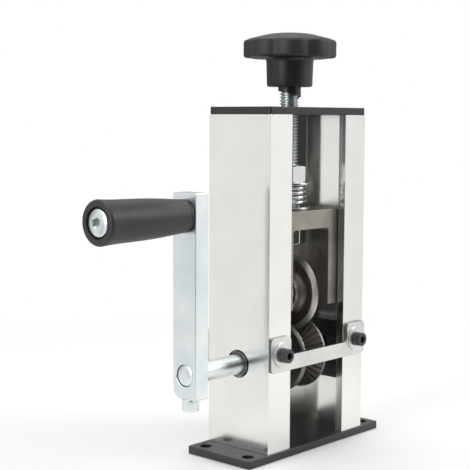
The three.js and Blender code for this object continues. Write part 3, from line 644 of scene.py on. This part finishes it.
def dress_guide_screw(corner):
    washer = f"{corner}_guide_washer"
    dress_ring(washer, GUIDE_SCREW_HOLE, "Y", WASHER_EASE, "guide_steel")
    low, high = box(washer)
    way = 1 if high.y > 0 else -1
    seat = high.y if way > 0 else low.y
    dress_socket_screw(f"{corner}_guide_screw", "Y", way, seat, GUIDE_SCREW)


# Bearing blocks and ball bearings

BLOCK_CORNER = 0.6
BLOCK_BEVEL = 0.4
BLOCK_THROAT = 10
BEARING_SEAT = 14.3
BEARING_EASE = 0.4
SHIELD_DEPTH = 0.6
SHIELD_SUNK = 0.3
SHIELD_GAP = 0.3


def dress_bearing_block(side):
    node = f"{side}_bearing_block"
    low, high = box(node)
    outline = rectangle(low.yz, high.yz, BLOCK_CORNER)
    throat = circle(BLOCK_THROAT, SHAFT_CENTRE, 64)
    made = put(node, pushed(outline, low.x, high.x, "X", [throat], BLOCK_BEVEL), flat=True)
    _, ring_low, ring_high, _ = round_box(f"{side}_shaft_bearing_outer_ring")
    ends = (ring_low, ring_high + OVERCUT) if side == "right" else (ring_low - OVERCUT, ring_high)
    carved(made, rod(BEARING_SEAT, *ends, "X", SHAFT_CENTRE))


def dress_bearing(name, bore):
    """Outer ring with its two pressed shields, and inner ring, of one ball bearing."""
    outer, low, high, centre = round_box(f"{name}_outer_ring")
    inner = round_box(f"{name}_inner_ring")[0]
    race = outer - (inner - bore)
    ease = BEARING_EASE

    def half(face, way):
        return [
            (race, face + way * SHIELD_DEPTH), (inner + SHIELD_GAP, face + way * SHIELD_DEPTH),
            (inner + SHIELD_GAP, face + way * SHIELD_SUNK), (race - 0.9, face + way * SHIELD_SUNK),
            (race - 0.5, face + way * 0.05), (race - 0.1, face + way * SHIELD_SUNK), (race + 0.1, face),
            (outer - ease, face), (outer - 0.1, face + way * 0.1), (outer, face + way * ease),
        ]

    profile = half(low, 1) + half(high, -1)[::-1]
    put(f"{name}_outer_ring", turned(profile, "X", centre, closed=True))
    dress_ring(f"{name}_inner_ring", bore + RING_GAP)


# Drive shaft and its retaining ring, the clip

SHAFT_GROOVE_DEPTH = 0.6
SHAFT_GROOVE_GAP = 0.1
SHAFT_CHAMFER = 0.8
SHAFT_CENTRE_HOLE = 1.6
CLIP_WIDTH = 2.2
CLIP_OPENING = 0.35
CLIP_BEVEL = 0.12
CLIP_EAR = 1.5
CLIP_HOLE = 0.55


def dress_shaft():
    radius, low, high, _ = round_box("drive_shaft")
    _, groove_low, groove_high, _ = round_box("shaft_retaining_ring")
    groove = radius - SHAFT_GROOVE_DEPTH
    put("drive_shaft", turned([
        (0, low), (radius * 0.4, low + 0.08), (radius * 0.75, low + 0.3), (radius - 0.4, low + 0.6),
        (radius, low + 1.0),
        (radius, groove_low - SHAFT_GROOVE_GAP), (groove, groove_low - SHAFT_GROOVE_GAP),
        (groove, groove_high + SHAFT_GROOVE_GAP), (radius, groove_high + SHAFT_GROOVE_GAP),
        (radius, high - SHAFT_CHAMFER), (radius - SHAFT_CHAMFER, high),
        (SHAFT_CENTRE_HOLE, high), (0, high - SHAFT_CENTRE_HOLE),
    ], "X", SHAFT_CENTRE))


def dress_retaining_ring():
    """A clip: a C of flat steel with a hole near each end, for pliers."""
    low, high = box("shaft_retaining_ring")
    outer = (high.y - low.y) / 2
    inner = outer - CLIP_WIDTH
    steps, first = 40, CLIP_OPENING
    turns = [first + (math.tau - 2 * first) * i / steps for i in range(steps + 1)]
    outline = [around(turn, outer, SHAFT_CENTRE) for turn in turns]
    outline += [around(turn, inner, SHAFT_CENTRE) for turn in reversed(turns)]
    ear = first + CLIP_EAR / outer
    centres = [around(turn, outer - CLIP_WIDTH / 2, SHAFT_CENTRE) for turn in (-ear, ear)]
    holes = [circle(CLIP_HOLE, centre, 16) for centre in centres]
    bm = pushed(outline, low.x, high.x, "X", holes, CLIP_BEVEL)
    put("shaft_retaining_ring", bm, flat=True)


# Feed roller

ROLLER_LAND = 2.7
ROLLER_CHAMFER = 1.0
GROOVE_ROOT = 9
GROOVE_ROOT_HALF = 1.5
SERRATIONS = 34
SERRATION_DEPTH = 0.9
# One serration along the rim, as (share of its width, share of its depth)
SERRATION = ((0.0, 0.0), (0.05, 1.0), (0.25, 1.0), (0.3, 0.0), (0.5, 0.0), (0.7, 0.0), (0.85, 0.0))
# The serrations along the groove's flank from its rim down, as (share of the flank, share of their depth)
FLANK = ((1.0, 0.35), (0.96, 1.0), (0.6, 1.0), (0.2, 1.0), (0.12, 0.0))


def dress_roller():
    radius, low, high, _ = round_box("feed_roller")
    middle_x = (low + high) / 2
    half = (high - low) / 2
    groove_half = half - ROLLER_LAND
    across = groove_half - GROOVE_ROOT_HALF
    down = radius - GROOVE_ROOT
    length = math.hypot(across, down)
    depth_at = {
        math.tau * (tooth + share) / SERRATIONS: depth * SERRATION_DEPTH
        for tooth in range(SERRATIONS) for share, depth in SERRATION
    }

    def flank(share, way, fade):
        def point(angle):
            sunk = depth_at[angle] * fade
            along = GROOVE_ROOT_HALF + across * share + sunk * down / length
            return GROOVE_ROOT + down * share - sunk * across / length, middle_x + way * along
        return point

    def half_profile(way):
        bore = SHAFT_RADIUS + BORE_GAP
        return [
            (bore, middle_x + way * half), (bore + 1, middle_x + way * half),
            (radius - ROLLER_CHAMFER, middle_x + way * half),
            (radius, middle_x + way * (half - ROLLER_CHAMFER)), (radius, middle_x + way * (groove_half + 1)),
            *(flank(share, way, fade) for share, fade in FLANK),
            (GROOVE_ROOT, middle_x + way * GROOVE_ROOT_HALF),
        ]

    profile = half_profile(-1) + half_profile(1)[::-1]
    made = put("feed_roller", turned(profile, "X", SHAFT_CENTRE, angles=list(depth_at), closed=True))

    def on_land(place, normal):
        from_axis = (place.yz - SHAFT_CENTRE).length
        return from_axis > radius - ROLLER_CHAMFER - 0.2 and abs(place.x - middle_x) > groove_half + 0.1

    second_material(made, "roller_land", on_land)


# Crank arm, clamp screw and washer

ARM_BACK_RADIUS = 5.5
ARM_EDGE = 0.5
ARM_BEVEL = 0.45
ARM_BORE_GAP = 0.4
GRIP_BOLT_HOLE = 4.3
CLAMP_WASHER_BORE = 3.2
CLAMP_WASHER_CUT = 0.08
CLAMP_WASHER_LIFT = 0.12
CLAMP_WASHER_TURN = -2.3


def dress_arm():
    low, high = box("crank_arm")
    outline = rounded([
        (low.y, low.z, ARM_EDGE), (high.y, low.z, ARM_BACK_RADIUS),
        (high.y, high.z, ARM_EDGE), (low.y, high.z, ARM_EDGE),
    ])
    bore = circle(SHAFT_RADIUS + ARM_BORE_GAP, SHAFT_CENTRE, 64)
    bolt_hole = circle(GRIP_BOLT_HOLE, middle("grip").yz)
    put("crank_arm", pushed(outline, low.x, high.x, "X", [bore, bolt_hole], ARM_BEVEL), flat=True)


def dress_clamp():
    low, high = box("clamp_washer")
    dress_socket_screw("clamp_screw", "Z", -1, low.z, CLAMP_SCREW)
    put("clamp_washer", split_washer(low, high, middle("clamp_screw").xy))


def split_washer(low, high, centre):
    """One turn of square wire whose ends stand a little apart."""
    inner, outer = CLAMP_WASHER_BORE, (high.x - low.x) / 2
    cut, lift = CLAMP_WASHER_CUT, CLAMP_WASHER_LIFT
    bottom, top = low.z + lift / 2, high.z - lift / 2
    section = ((inner, bottom), (outer, bottom), (outer, top), (inner, top))
    steps = 60
    sections = []
    for i in range(steps + 1):
        share = i / steps
        turn = CLAMP_WASHER_TURN + cut + (math.tau - 2 * cut) * share
        rise = lift * (share - 0.5)
        sections.append([(*around(turn, radius, centre), along + rise) for radius, along in section])
    return swept(sections)


# Grip and its bolt

GRIP_BORE = 4.3
GRIP_THICK = 12.47
GRIP_THIN = 9.6
GRIP_WELL = 8.65
GRIP_WELL_DEPTH = 3.1
GRIP_END_ROUNDING = 1.8
GRIP_END_CHAMFER = 0.8
GRIP_LINE_DEPTH = 0.25
# The grip's radius along its length, as (share of the length, radius)
GRIP_BODY = (
    (0.06, 12.3), (0.1, 12.12), (0.14, 11.98), (0.18, 11.88), (0.26, 11.77), (0.34, 11.67), (0.42, 11.58),
    (0.5, 11.46), (0.6, 11.22), (0.7, 10.86), (0.8, 10.4), (0.9, 9.9), (0.95, 9.65),
)
GRIP_BOLT_RADIUS = 4.0
GRIP_BOLT_CHAMFER = 0.6
GRIP_BOLT_DOME = 1.5
GRIP_BOLT_SOCKET = 3.0
GRIP_BOLT_SOCKET_DEPTH = 2.2
GRIP_WASHER_BORE = 4.2


def dress_grip():
    _, low, high, _ = round_box("grip")
    head, bolt_low, bolt_high, centre = round_box("grip_bolt")
    recess = low + GRIP_WELL_DEPTH
    well, thick, thin = GRIP_WELL, GRIP_THICK, GRIP_THIN
    line = thin - GRIP_LINE_DEPTH
    put("grip", turned([
        (GRIP_BORE, recess), (well - 0.3, recess), (well, recess - 0.3), (well, low + 0.5),
        (well + 0.3, low + 0.1), *rounding(thick, low, GRIP_END_ROUNDING, 1, 8),
        *((radius, low + (high - low) * share) for share, radius in GRIP_BODY),
        (thin, high - 2.6), (line, high - 2.2), (line, high - 1.9), (thin, high - 1.6),
        (thin, high - GRIP_END_CHAMFER), (thin - GRIP_END_CHAMFER, high), (GRIP_BORE, high),
    ], "X", centre, closed=True))

    rim = bolt_low + GRIP_BOLT_DOME
    dome = [
        (head * math.sin(turn), rim - GRIP_BOLT_DOME * math.cos(turn) ** 1.2)
        for turn in quarter(12)[11:4:-1]
    ]
    face = dome[-1][1]
    put("grip_bolt", turned([
        (0, bolt_high), (GRIP_BOLT_RADIUS - GRIP_BOLT_CHAMFER, bolt_high),
        (GRIP_BOLT_RADIUS, bolt_high - GRIP_BOLT_CHAMFER), (GRIP_BOLT_RADIUS, recess - 0.4),
        (head - 0.3, recess - 0.4), (head, recess - 0.7), (head, rim),
        *dome,
        hex_point(GRIP_BOLT_SOCKET + 0.2, face - 0.05), hex_point(GRIP_BOLT_SOCKET, face + 0.15),
        hex_point(GRIP_BOLT_SOCKET, face + GRIP_BOLT_SOCKET_DEPTH), (0, face + GRIP_BOLT_SOCKET_DEPTH + 0.6),
    ], "X", centre))
    dress_ring("grip_washer", GRIP_WASHER_BORE, ease=WASHER_EASE)


# Carriage, axle and set screws

CARRIAGE_CORNER = 2.0
CARRIAGE_EDGE = 0.4
CARRIAGE_LEG = 23.3
CARRIAGE_BAR = 11.5
CARRIAGE_HOLE = 6.3
AXLE_HOLE_GAP = 0.2
AXLE_CHAMFER = 0.4
SET_SCREW_HOLE = 2.7
SET_SCREW_RADIUS = 2.45
SET_SCREW_SOCKET = 1.2
SET_SCREW_SOCKET_DEPTH = 1.4

# The front and rear are machined; a face gets a darker steel colour, painted shade, where its normal's share
# along Y is below this
MACHINED_FACING = 0.7


def dress_carriage():
    low, high = box("carriage")
    bar = high.z - CARRIAGE_BAR
    inner = high.x - CARRIAGE_LEG
    outline = rounded([
        (low.x, low.z, CARRIAGE_EDGE), (-inner, low.z, CARRIAGE_EDGE), (-inner, bar, CARRIAGE_CORNER),
        (inner, bar, CARRIAGE_CORNER), (inner, low.z, CARRIAGE_EDGE), (high.x, low.z, CARRIAGE_EDGE),
        (high.x, high.z, CARRIAGE_EDGE), (low.x, high.z, CARRIAGE_EDGE),
    ])
    made = put("carriage", pushed(outline, low.y, high.y, "Y", bevel=CARRIAGE_EDGE), flat=True)
    _, axle_low, axle_high, axle = round_box("wheel_axle")
    holes = [
        rod(CARRIAGE_HOLE, bar - OVERCUT, high.z + OVERCUT),
        rod(AXLE_RADIUS + AXLE_HOLE_GAP, axle_low, axle_high, "X", axle),
    ]
    for side in SIDES:
        screw = middle(f"{side}_axle_set_screw").xy
        holes.append(rod(SET_SCREW_HOLE, low.z - OVERCUT, middle("wheel_axle").z, "Z", screw, 32))
    carved(made, *holes)
    # The carriage's faces that don't face front or rear get the darker painted shade
    second_material(made, "painted_shade_side_steel", lambda place, normal: abs(normal.y) < MACHINED_FACING)


def dress_axle():
    _, low, high, centre = round_box("wheel_axle")
    put("wheel_axle", turned([
        (0, low), (AXLE_RADIUS - AXLE_CHAMFER, low), (AXLE_RADIUS, low + AXLE_CHAMFER),
        (AXLE_RADIUS, high - AXLE_CHAMFER), (AXLE_RADIUS - AXLE_CHAMFER, high), (0, high),
    ], "X", centre))
    radius, socket = SET_SCREW_RADIUS, SET_SCREW_SOCKET
    for side in SIDES:
        dress_ring(f"{side}_axle_sleeve", AXLE_RADIUS + RING_GAP)
        node = f"{side}_axle_set_screw"
        _, low, high, centre = round_box(node, "Z")
        put(node, turned([
            (0, high), (radius - 0.45, high), (radius, high - 0.4), (radius, low + 0.3),
            (radius - 0.25, low), hex_point(socket + 0.05, low),
            hex_point(socket, low + SET_SCREW_SOCKET_DEPTH), (0, low + SET_SCREW_SOCKET_DEPTH + 0.3),
        ], centre=centre, sides=48))


# Cutting wheel

WHEEL_BEVEL = 3.4
WHEEL_HALF = 1.75
WHEEL_EDGE = 0.25
WHEEL_HUB = 13.9
WHEEL_HUB_FLARE = 3.6
WHEEL_RECESS = 11.3
WHEEL_RECESS_DEPTH = 0.9


def dress_cutting_wheel():
    radius, low, high, centre = round_box("cutting_wheel")
    hub, recess = WHEEL_HUB, WHEEL_RECESS
    flat = radius - WHEEL_BEVEL
    flare = [
        (hub + WHEEL_HUB_FLARE * (1 - math.sin(turn)), WHEEL_HALF + WHEEL_HUB_FLARE * (1 - math.cos(turn)))
        for turn in reversed(quarter(8))
    ]
    half = [
        (recess, high - WHEEL_RECESS_DEPTH), (recess + 0.2, high - WHEEL_RECESS_DEPTH),
        (hub - 0.9, high - 0.1), (hub - 0.6, high), (hub - 0.1, high - 0.15), (hub, high - 0.5),
        *flare,
        (flat - 0.15, WHEEL_HALF), (flat + 0.1, WHEEL_HALF - 0.12),
        (radius - WHEEL_EDGE, WHEEL_EDGE), (radius, 0),
    ]
    profile = [(across, -along) for across, along in half] + half[-2::-1]
    made = put("cutting_wheel", turned(profile, "X", centre, sides=160, closed=True))

    def ground(place, normal):
        from_axis = (place.yz - centre).length
        on_lip = recess + 0.3 < from_axis < hub - 0.1 and abs(place.x) > high - WHEEL_RECESS_DEPTH
        return from_axis > flat or on_lip

    second_material(made, "blade_edge", ground)


# Adjusting screw, nuts, washers and spring

THREAD_PITCH = 2.0
THREAD_DEPTH = 1.1
THREAD_SIDES = 64
THREAD_CHAMFER = 1.2
# The thread's height at even steps along one pitch, as a share of its depth
THREAD_FORM = (0.0, 0.0, 0.28, 0.64, 1.0, 1.0, 0.72, 0.36, 0.0, 0.0)
# A face in the thread's root gets a darker colour, painted shade for the shadow between the flanks, where it
# lies deeper than this share of the depth
ROOT_SHADE_FROM = 0.6
NUT_HALF_FLATS = 9.5
NUT_BORE = 5.9
NUT_BORE_CHAMFER = 0.9
NUT_FALL_SHARE = 0.62
UPPER_NUT_TURN = 81
LOWER_NUT_TURN = 48.8
SPRING_WASHER_BORE = 6.3
SPRING_WIRE = 1.0
SPRING_TURNS = 4
SPRING_END_GAP = 0.05


def threaded_rod(radius, low, high):
    """A rod whose surface follows one helical thread, with its ends cut flat."""
    rows_per_turn = len(THREAD_FORM)
    root = radius - THREAD_DEPTH
    rows = (math.ceil((high - low) / THREAD_PITCH) + 1) * rows_per_turn
    bm = bmesh.new()
    grid = []
    for i, angle in enumerate(full_turn(THREAD_SIDES)):
        column = []
        for row in range(rows + 1):
            along = low + THREAD_PITCH * (row / rows_per_turn + i / THREAD_SIDES - 1)
            from_end = max(min(along - low, high - along), 0)
            height = min(THREAD_FORM[row % rows_per_turn], from_end / THREAD_CHAMFER)
            place = around(angle, root + THREAD_DEPTH * height)
            column.append(bm.verts.new((*place, min(max(along, low), high))))
        grid.append(column)
    for i in range(THREAD_SIDES):
        last = i == THREAD_SIDES - 1
        after = grid[0] if last else grid[i + 1]
        shift = rows_per_turn if last else 0
        for row in range(rows - shift):
            bm.faces.new([grid[i][row], after[row + shift], after[row + 1 + shift], grid[i][row + 1]])
    bmesh.ops.remove_doubles(bm, verts=bm.verts, dist=MERGED_BELOW)
    bmesh.ops.dissolve_degenerate(bm, edges=bm.edges, dist=MERGED_BELOW / 10)
    for height in (low, high):
        rim = [edge for edge in bm.edges if len(edge.link_faces) == 1
               and all(abs(vert.co.z - height) < MERGED_BELOW * 10 for vert in edge.verts)]
        bmesh.ops.contextual_create(bm, geom=rim)
    return bm


def dress_nut(node, turn_degrees):
    """A hexagon nut whose corners a cone cuts off at both ends."""
    low, high = (corner.z for corner in box(node))
    flats, bore = NUT_HALF_FLATS, NUT_BORE
    to_corner = flats / math.cos(math.pi / 6) - flats
    outline = hexagon(flats, math.radians(turn_degrees))

    def cut_to(along, cone):
        return lambda angle: (min(outline(angle), cone), along)

    steps = 5
    heights = [
        (low + to_corner * NUT_FALL_SHARE * i / steps, flats + 0.1 + to_corner * i / steps)
        for i in range(steps + 1)
    ]
    put(node, turned([
        (bore, low + NUT_BORE_CHAMFER), (bore + NUT_BORE_CHAMFER, low), (flats - 0.6, low),
        *(cut_to(along, cone) for along, cone in heights),
        *(cut_to(low + high - along, cone) for along, cone in reversed(heights)),
        (flats - 0.6, high), (bore + NUT_BORE_CHAMFER, high), (bore, high - NUT_BORE_CHAMFER),
    ], sides=144, closed=True), "spring_steel")


def dress_spring():
    """A coil of round wire from the lower spring washer up to the upper one."""
    low = box("lower_spring_washer")[1].z
    high = box("upper_spring_washer")[0].z
    wire = SPRING_WIRE
    mean = round_box("pressure_spring", "Z")[0] - wire
    bottom = low + wire + SPRING_END_GAP
    rise = high - wire - SPRING_END_GAP - bottom
    steps = 40 * SPRING_TURNS
    sections = []
    for i in range(steps + 1):
        share = i / steps
        angle = math.tau * SPRING_TURNS * share
        outward = Vector((math.cos(angle), math.sin(angle), 0))
        slope = rise / (SPRING_TURNS * math.tau)
        along = Vector((-math.sin(angle) * mean, math.cos(angle) * mean, slope)).normalized()
        upward = outward.cross(along)
        centre = outward * mean + Vector((0, 0, bottom + rise * share))
        sections.append([
            centre + wire * (outward * math.cos(turn) + upward * math.sin(turn)) for turn in full_turn(16)
        ])
    spring = put("pressure_spring", swept(sections), sharp_degrees=50)
    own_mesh(spring)


def dress_adjustment():
    radius, low, high, _ = round_box("adjusting_screw", "Z")
    made = put("adjusting_screw", threaded_rod(radius, low, high), sharp_degrees=40)
    root = radius - THREAD_DEPTH * ROOT_SHADE_FROM
    # The thread's roots get the darker painted shade
    second_material(made, "painted_shade_thread_root", lambda place, normal: place.xy.length < root)
    dress_nut("upper_nut", UPPER_NUT_TURN)
    dress_nut("lower_nut", LOWER_NUT_TURN)
    for end in ("upper", "lower"):
        dress_ring(f"{end}_spring_washer", SPRING_WASHER_BORE, "Z", material="spring_steel")
    dress_spring()


# Star knob

LOBES = 8
LOBE_RADIUS = 13
LOBE_TURN = math.radians(42.2)
# The knob's box is smaller than this, because the lobes' tips lie between the axes
KNOB_RADIUS = 28.4
KNOB_SIDES = 192
KNOB_BORE = 6.2
KNOB_BORE_DEPTH = 4
KNOB_HUB_TOP = 14.5
KNOB_HUB_BOTTOM = 14
KNOB_HUB_HEIGHT = 17.5
RIM_HEIGHT = 11
RIM_LOW_ROUNDING = 1.6
RIM_TOP_ROUNDING = 2.2
VALLEY_SOFTENING = math.radians(3)
# The dome inside the rim, as (radius, share of the valleys' depth, share of its height)
KNOB_DOME = (
    (24.8, 0.9, 0.18), (23.0, 0.75, 0.29), (21.0, 0.55, 0.42), (19.0, 0.38, 0.54), (17.0, 0.22, 0.67),
    (14.5, 0.1, 0.81), (12.0, 0.03, 0.92), (9.0, 0.0, 1.0),
)
COLLAR_BORE = 6.15
COLLAR_RADIUS = 7
COLLAR_LONGEST = 7.6
COLLAR_SHORTEST = 0.6
COLLAR_SUNK = 0.5
COLLAR_TURN = math.radians(42)


def valley_depths():
    """How far the lobed rim falls short of the knob's radius at each side, with softened valleys."""
    centre = KNOB_RADIUS - LOBE_RADIUS

    def sharp(angle):
        from_lobe = (angle - LOBE_TURN + math.pi / LOBES) % (math.tau / LOBES) - math.pi / LOBES
        across = centre * math.sin(from_lobe)
        return KNOB_RADIUS - centre * math.cos(from_lobe) - math.sqrt(LOBE_RADIUS ** 2 - across ** 2)

    samples = [VALLEY_SOFTENING * (i / 4 - 1) for i in range(9)]
    return {
        angle: sum(sharp(angle + step) for step in samples) / len(samples) for angle in full_turn(KNOB_SIDES)
    }


def dress_knob():
    low, crown = (corner.z for corner in box("knob"))
    depths = valley_depths()
    radius, bore = KNOB_RADIUS, KNOB_BORE
    hub_bottom = low + COLLAR_LONGEST
    rim = hub_bottom + KNOB_HUB_HEIGHT
    top = rim + RIM_HEIGHT
    foot, head = KNOB_HUB_BOTTOM, KNOB_HUB_TOP

    def lobed(outer, share, along):
        return lambda angle: (outer - share * depths[angle], along)

    edge = rounding(radius, rim, RIM_LOW_ROUNDING, 1, 5)
    edge += rounding(radius, top, RIM_TOP_ROUNDING, -1, 6)[::-1]
    bm = turned([
        (0, hub_bottom + KNOB_BORE_DEPTH), (bore, hub_bottom + KNOB_BORE_DEPTH), (bore, hub_bottom + 0.2),
        (foot - 1.2, hub_bottom), (foot - 0.3, hub_bottom + 0.3), (foot, hub_bottom + 1.2),
        (head - 0.1, rim - 3.0), (head + 0.1, rim - 1.6), (head + 0.6, rim - 0.5), (head + 1.6, rim),
        lobed(radius - 4.0, 0.9, rim),
        *(lobed(outer, 1, along) for outer, along in edge),
        *(lobed(outer, share, top + rise * (crown - top)) for outer, share, rise in KNOB_DOME),
        (0, crown),
    ], sides=KNOB_SIDES)
    made = put("knob", bm, sharp_degrees=40)
    second_material(made, "matt_plastic", lambda place, normal: place.z > rim)
    collar = to_object("knob_collar", collar_mesh(hub_bottom), sharp_degrees=40)
    collar.data.materials.append(MATERIALS["black_plastic"])
    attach(collar, BODY_OF["knob"])


def collar_mesh(top):
    """The collar under the hub, whose lower edge climbs round the screw in one turn."""
    steps = 72
    sections = []
    for i in range(steps + 1):
        share = i / steps
        turn = COLLAR_TURN + (math.tau - 0.01) * share
        bottom = top - COLLAR_SHORTEST - (COLLAR_LONGEST - COLLAR_SHORTEST) * share
        upper = top + COLLAR_SUNK
        section = (
            (COLLAR_BORE, upper), (COLLAR_RADIUS, upper), (COLLAR_RADIUS, bottom), (COLLAR_BORE, bottom),
        )
        sections.append([(*around(turn, radius), along) for radius, along in section])
    return swept(sections)


# Everything, piece by piece

dress_plates()
for corner in CORNERS:
    dress_plate_screw(f"{corner}_base_plate_screw", -1)
    dress_plate_screw(f"{corner}_top_plate_screw", 1)
    dress_guide_screw(corner)
for end in ("front", "rear"):
    dress_guide(end)
for side in SIDES:
    dress_channel(side)
    dress_bearing_block(side)
    dress_bearing(f"{side}_shaft_bearing", SHAFT_RADIUS)
    dress_bearing(f"{side}_wheel_bearing", AXLE_RADIUS)
    dress_ring(f"{side}_roller_sleeve", SHAFT_RADIUS + RING_GAP)
dress_ring("crank_sleeve", SHAFT_RADIUS + CRANK_SLEEVE_GAP, ease=0.5, material="sleeve_steel")
dress_shaft()
dress_retaining_ring()
dress_roller()
dress_arm()
dress_clamp()
dress_grip()
dress_carriage()
dress_axle()
dress_cutting_wheel()
dress_adjustment()
dress_knob()

for node in ("roller_key", "knob_insert"):
    materials = frame["nodes"][node].data.materials
    materials.clear()
    materials.append(MATERIALS[SLOT_OF[node]])


# Floor, world and lamps

PALE = (0.95, 0.95, 0.95, 1)
WHITE = (1, 1, 1, 1)
FLOOR_SIZE = 60
FLOOR_DROP = 0.0002
FLOOR_ROUGHNESS = 0.9
FLOOR_SPECULAR = 0.1
# The floor's shading gives way to plain white between these distances
FLOOR_FADE = (0.14, 0.5)
# The walls give way to the pale ceiling between these heights of a direction
CEILING_FADE = (0.3, 0.6)
# The background's strength for light on the part, and for rays that show the background itself
BACKGROUND = (0.6, 1.0)

# The studio's brightness by compass angle from +X, as (share of a turn, brightness)
WALLS = (
    (0.0, 0.7), (0.25, 0.25), (0.34, 0.5), (0.365, 0.88), (0.4, 0.88), (0.43, 0.4), (0.47, 0.9),
    (0.525, 1.0), (0.55, 0.04), (0.755, 0.04), (0.825, 0.9), (0.87, 1.0), (0.89, 1.0), (0.9, 0.86),
    (0.94, 0.7),
)

# A black card behind the part, a painted dark reflection of the shade there: its place, its size and the way
# it faces
FLAG_PLACE = (-0.054, 0.073, 0.055)
FLAG_SIZE = (0.04, 0.08)
FLAG_FACES = (0.79, -0.61, 0)

# Lamps, as (name, place, what it points at, size, power)
SOFTBOXES = (
    ("key_softbox", (-1.3, 0.04, 0.6), (0, 0, 0.16), (0.6, 1.0), 7),
    ("top_softbox", (0.1, 0.2, 1.5), (0, 0, 0.1), (1.0, 1.0), 9),
    ("right_softbox", (0.85, -0.95, 0.85), (0, 0, 0.12), (0.6, 0.6), 6),
)


def walls_seen(tree, direction):
    """The studio's brightness in a direction, and how high the direction points."""
    parts = add_node(tree, "SeparateXYZ", {0: direction})
    compass = math_node(tree, "ARCTAN2", parts.outputs["Y"], parts.outputs["X"])
    share = math_node(tree, "FRACT", math_node(tree, "DIVIDE", compass, math.tau))
    walls = add_node(tree, "ValToRGB", {"Fac": share})
    stops = walls.color_ramp.elements
    while len(stops) < len(WALLS):
        stops.new(0.5)
    for stop, (position, level) in zip(stops, WALLS):
        stop.position = position
        stop.color = (level, level, level, 1)
    return walls.outputs["Color"], parts.outputs["Z"]


def background_rays(tree):
    """1 for rays that show the background, in the picture or in metal; and 1 for the camera's alone."""
    rays = add_node(tree, "LightPath", {}).outputs
    seen = math_node(tree, "MAXIMUM", rays["Is Camera Ray"], rays["Is Glossy Ray"])
    clear = math_node(tree, "MAXIMUM", seen, rays["Is Transmission Ray"])
    return clear, rays["Is Camera Ray"]


def add_plane(name, size, place):
    bpy.ops.mesh.primitive_plane_add(size=size, location=place)
    bpy.context.object.name = name
    return bpy.context.object


def add_floor():
    """A pale floor that keeps the shadow and turns to plain white further out."""
    floor = add_plane("floor", FLOOR_SIZE, (0, 0, -FLOOR_DROP))
    made, tree, shader = new_material("floor", 0.0)
    shader.inputs["Base Color"].default_value = PALE
    shader.inputs["Roughness"].default_value = FLOOR_ROUGHNESS
    shader.inputs["Specular IOR Level"].default_value = FLOOR_SPECULAR
    place = add_node(tree, "TexCoord", {}).outputs["Object"]
    distance = add_node(tree, "VectorMath", {0: place}, operation="LENGTH").outputs["Value"]
    far = spread(tree, distance, 0, 1, *FLOOR_FADE)
    seen, camera_ray = background_rays(tree)
    walls = walls_seen(tree, place)[0]
    white = add_node(tree, "Emission", {"Color": mixed(tree, camera_ray, walls, WHITE)})
    share = math_node(tree, "MULTIPLY", far, seen)
    looks = {"Fac": share, 1: shader.outputs["BSDF"], 2: white.outputs["Emission"]}
    mix = add_node(tree, "MixShader", looks)
    tree.links.new(mix.outputs["Shader"], tree.nodes["Material Output"].inputs["Surface"])
    floor.data.materials.append(made)


def add_flag():
    """The black card, seen only in metal, because the photo's lower mirrors are dark."""
    # Painted reflection: seen only in metal, the card stands in for the shade on the floor behind the part
    flag = add_plane("black_flag", 1, FLAG_PLACE)
    flag.scale = (*FLAG_SIZE, 1)
    flag.rotation_mode = "QUATERNION"
    flag.rotation_quaternion = Vector(FLAG_FACES).to_track_quat("Z", "Y")
    flag.visible_camera = False
    flag.visible_diffuse = False
    flag.visible_shadow = False
    flag.data.materials.append(MATERIALS["black_block"])


def add_world():
    """White walls and ceiling, with the dark side of the studio behind the camera."""
    world = bpy.data.worlds.new("studio")
    world.use_nodes = True
    tree = world.node_tree
    place = add_node(tree, "TexCoord", {}).outputs["Generated"]
    walls, height = walls_seen(tree, place)
    around_part = mixed(tree, spread(tree, height, 0, 1, *CEILING_FADE), walls, PALE)
    seen, camera_ray = background_rays(tree)
    background = tree.nodes["Background"].inputs
    tree.links.new(mixed(tree, camera_ray, around_part, WHITE), background["Color"])
    tree.links.new(spread(tree, seen, *BACKGROUND, 0, 1), background["Strength"])
    bpy.context.scene.world = world


def add_softbox(name, place, target, size, power):
    data = bpy.data.lights.new(name, "AREA")
    data.shape = "RECTANGLE"
    data.size, data.size_y = size
    data.energy = power
    lamp = bpy.data.objects.new(name, data)
    lamp.location = place
    lamp.rotation_mode = "QUATERNION"
    lamp.rotation_quaternion = (Vector(target) - Vector(place)).to_track_quat("-Z", "Y")
    bpy.context.scene.collection.objects.link(lamp)


add_floor()
add_flag()
add_world()
for softbox in SOFTBOXES:
    add_softbox(*softbox)

bpy.context.scene.view_settings.view_transform = "Standard"
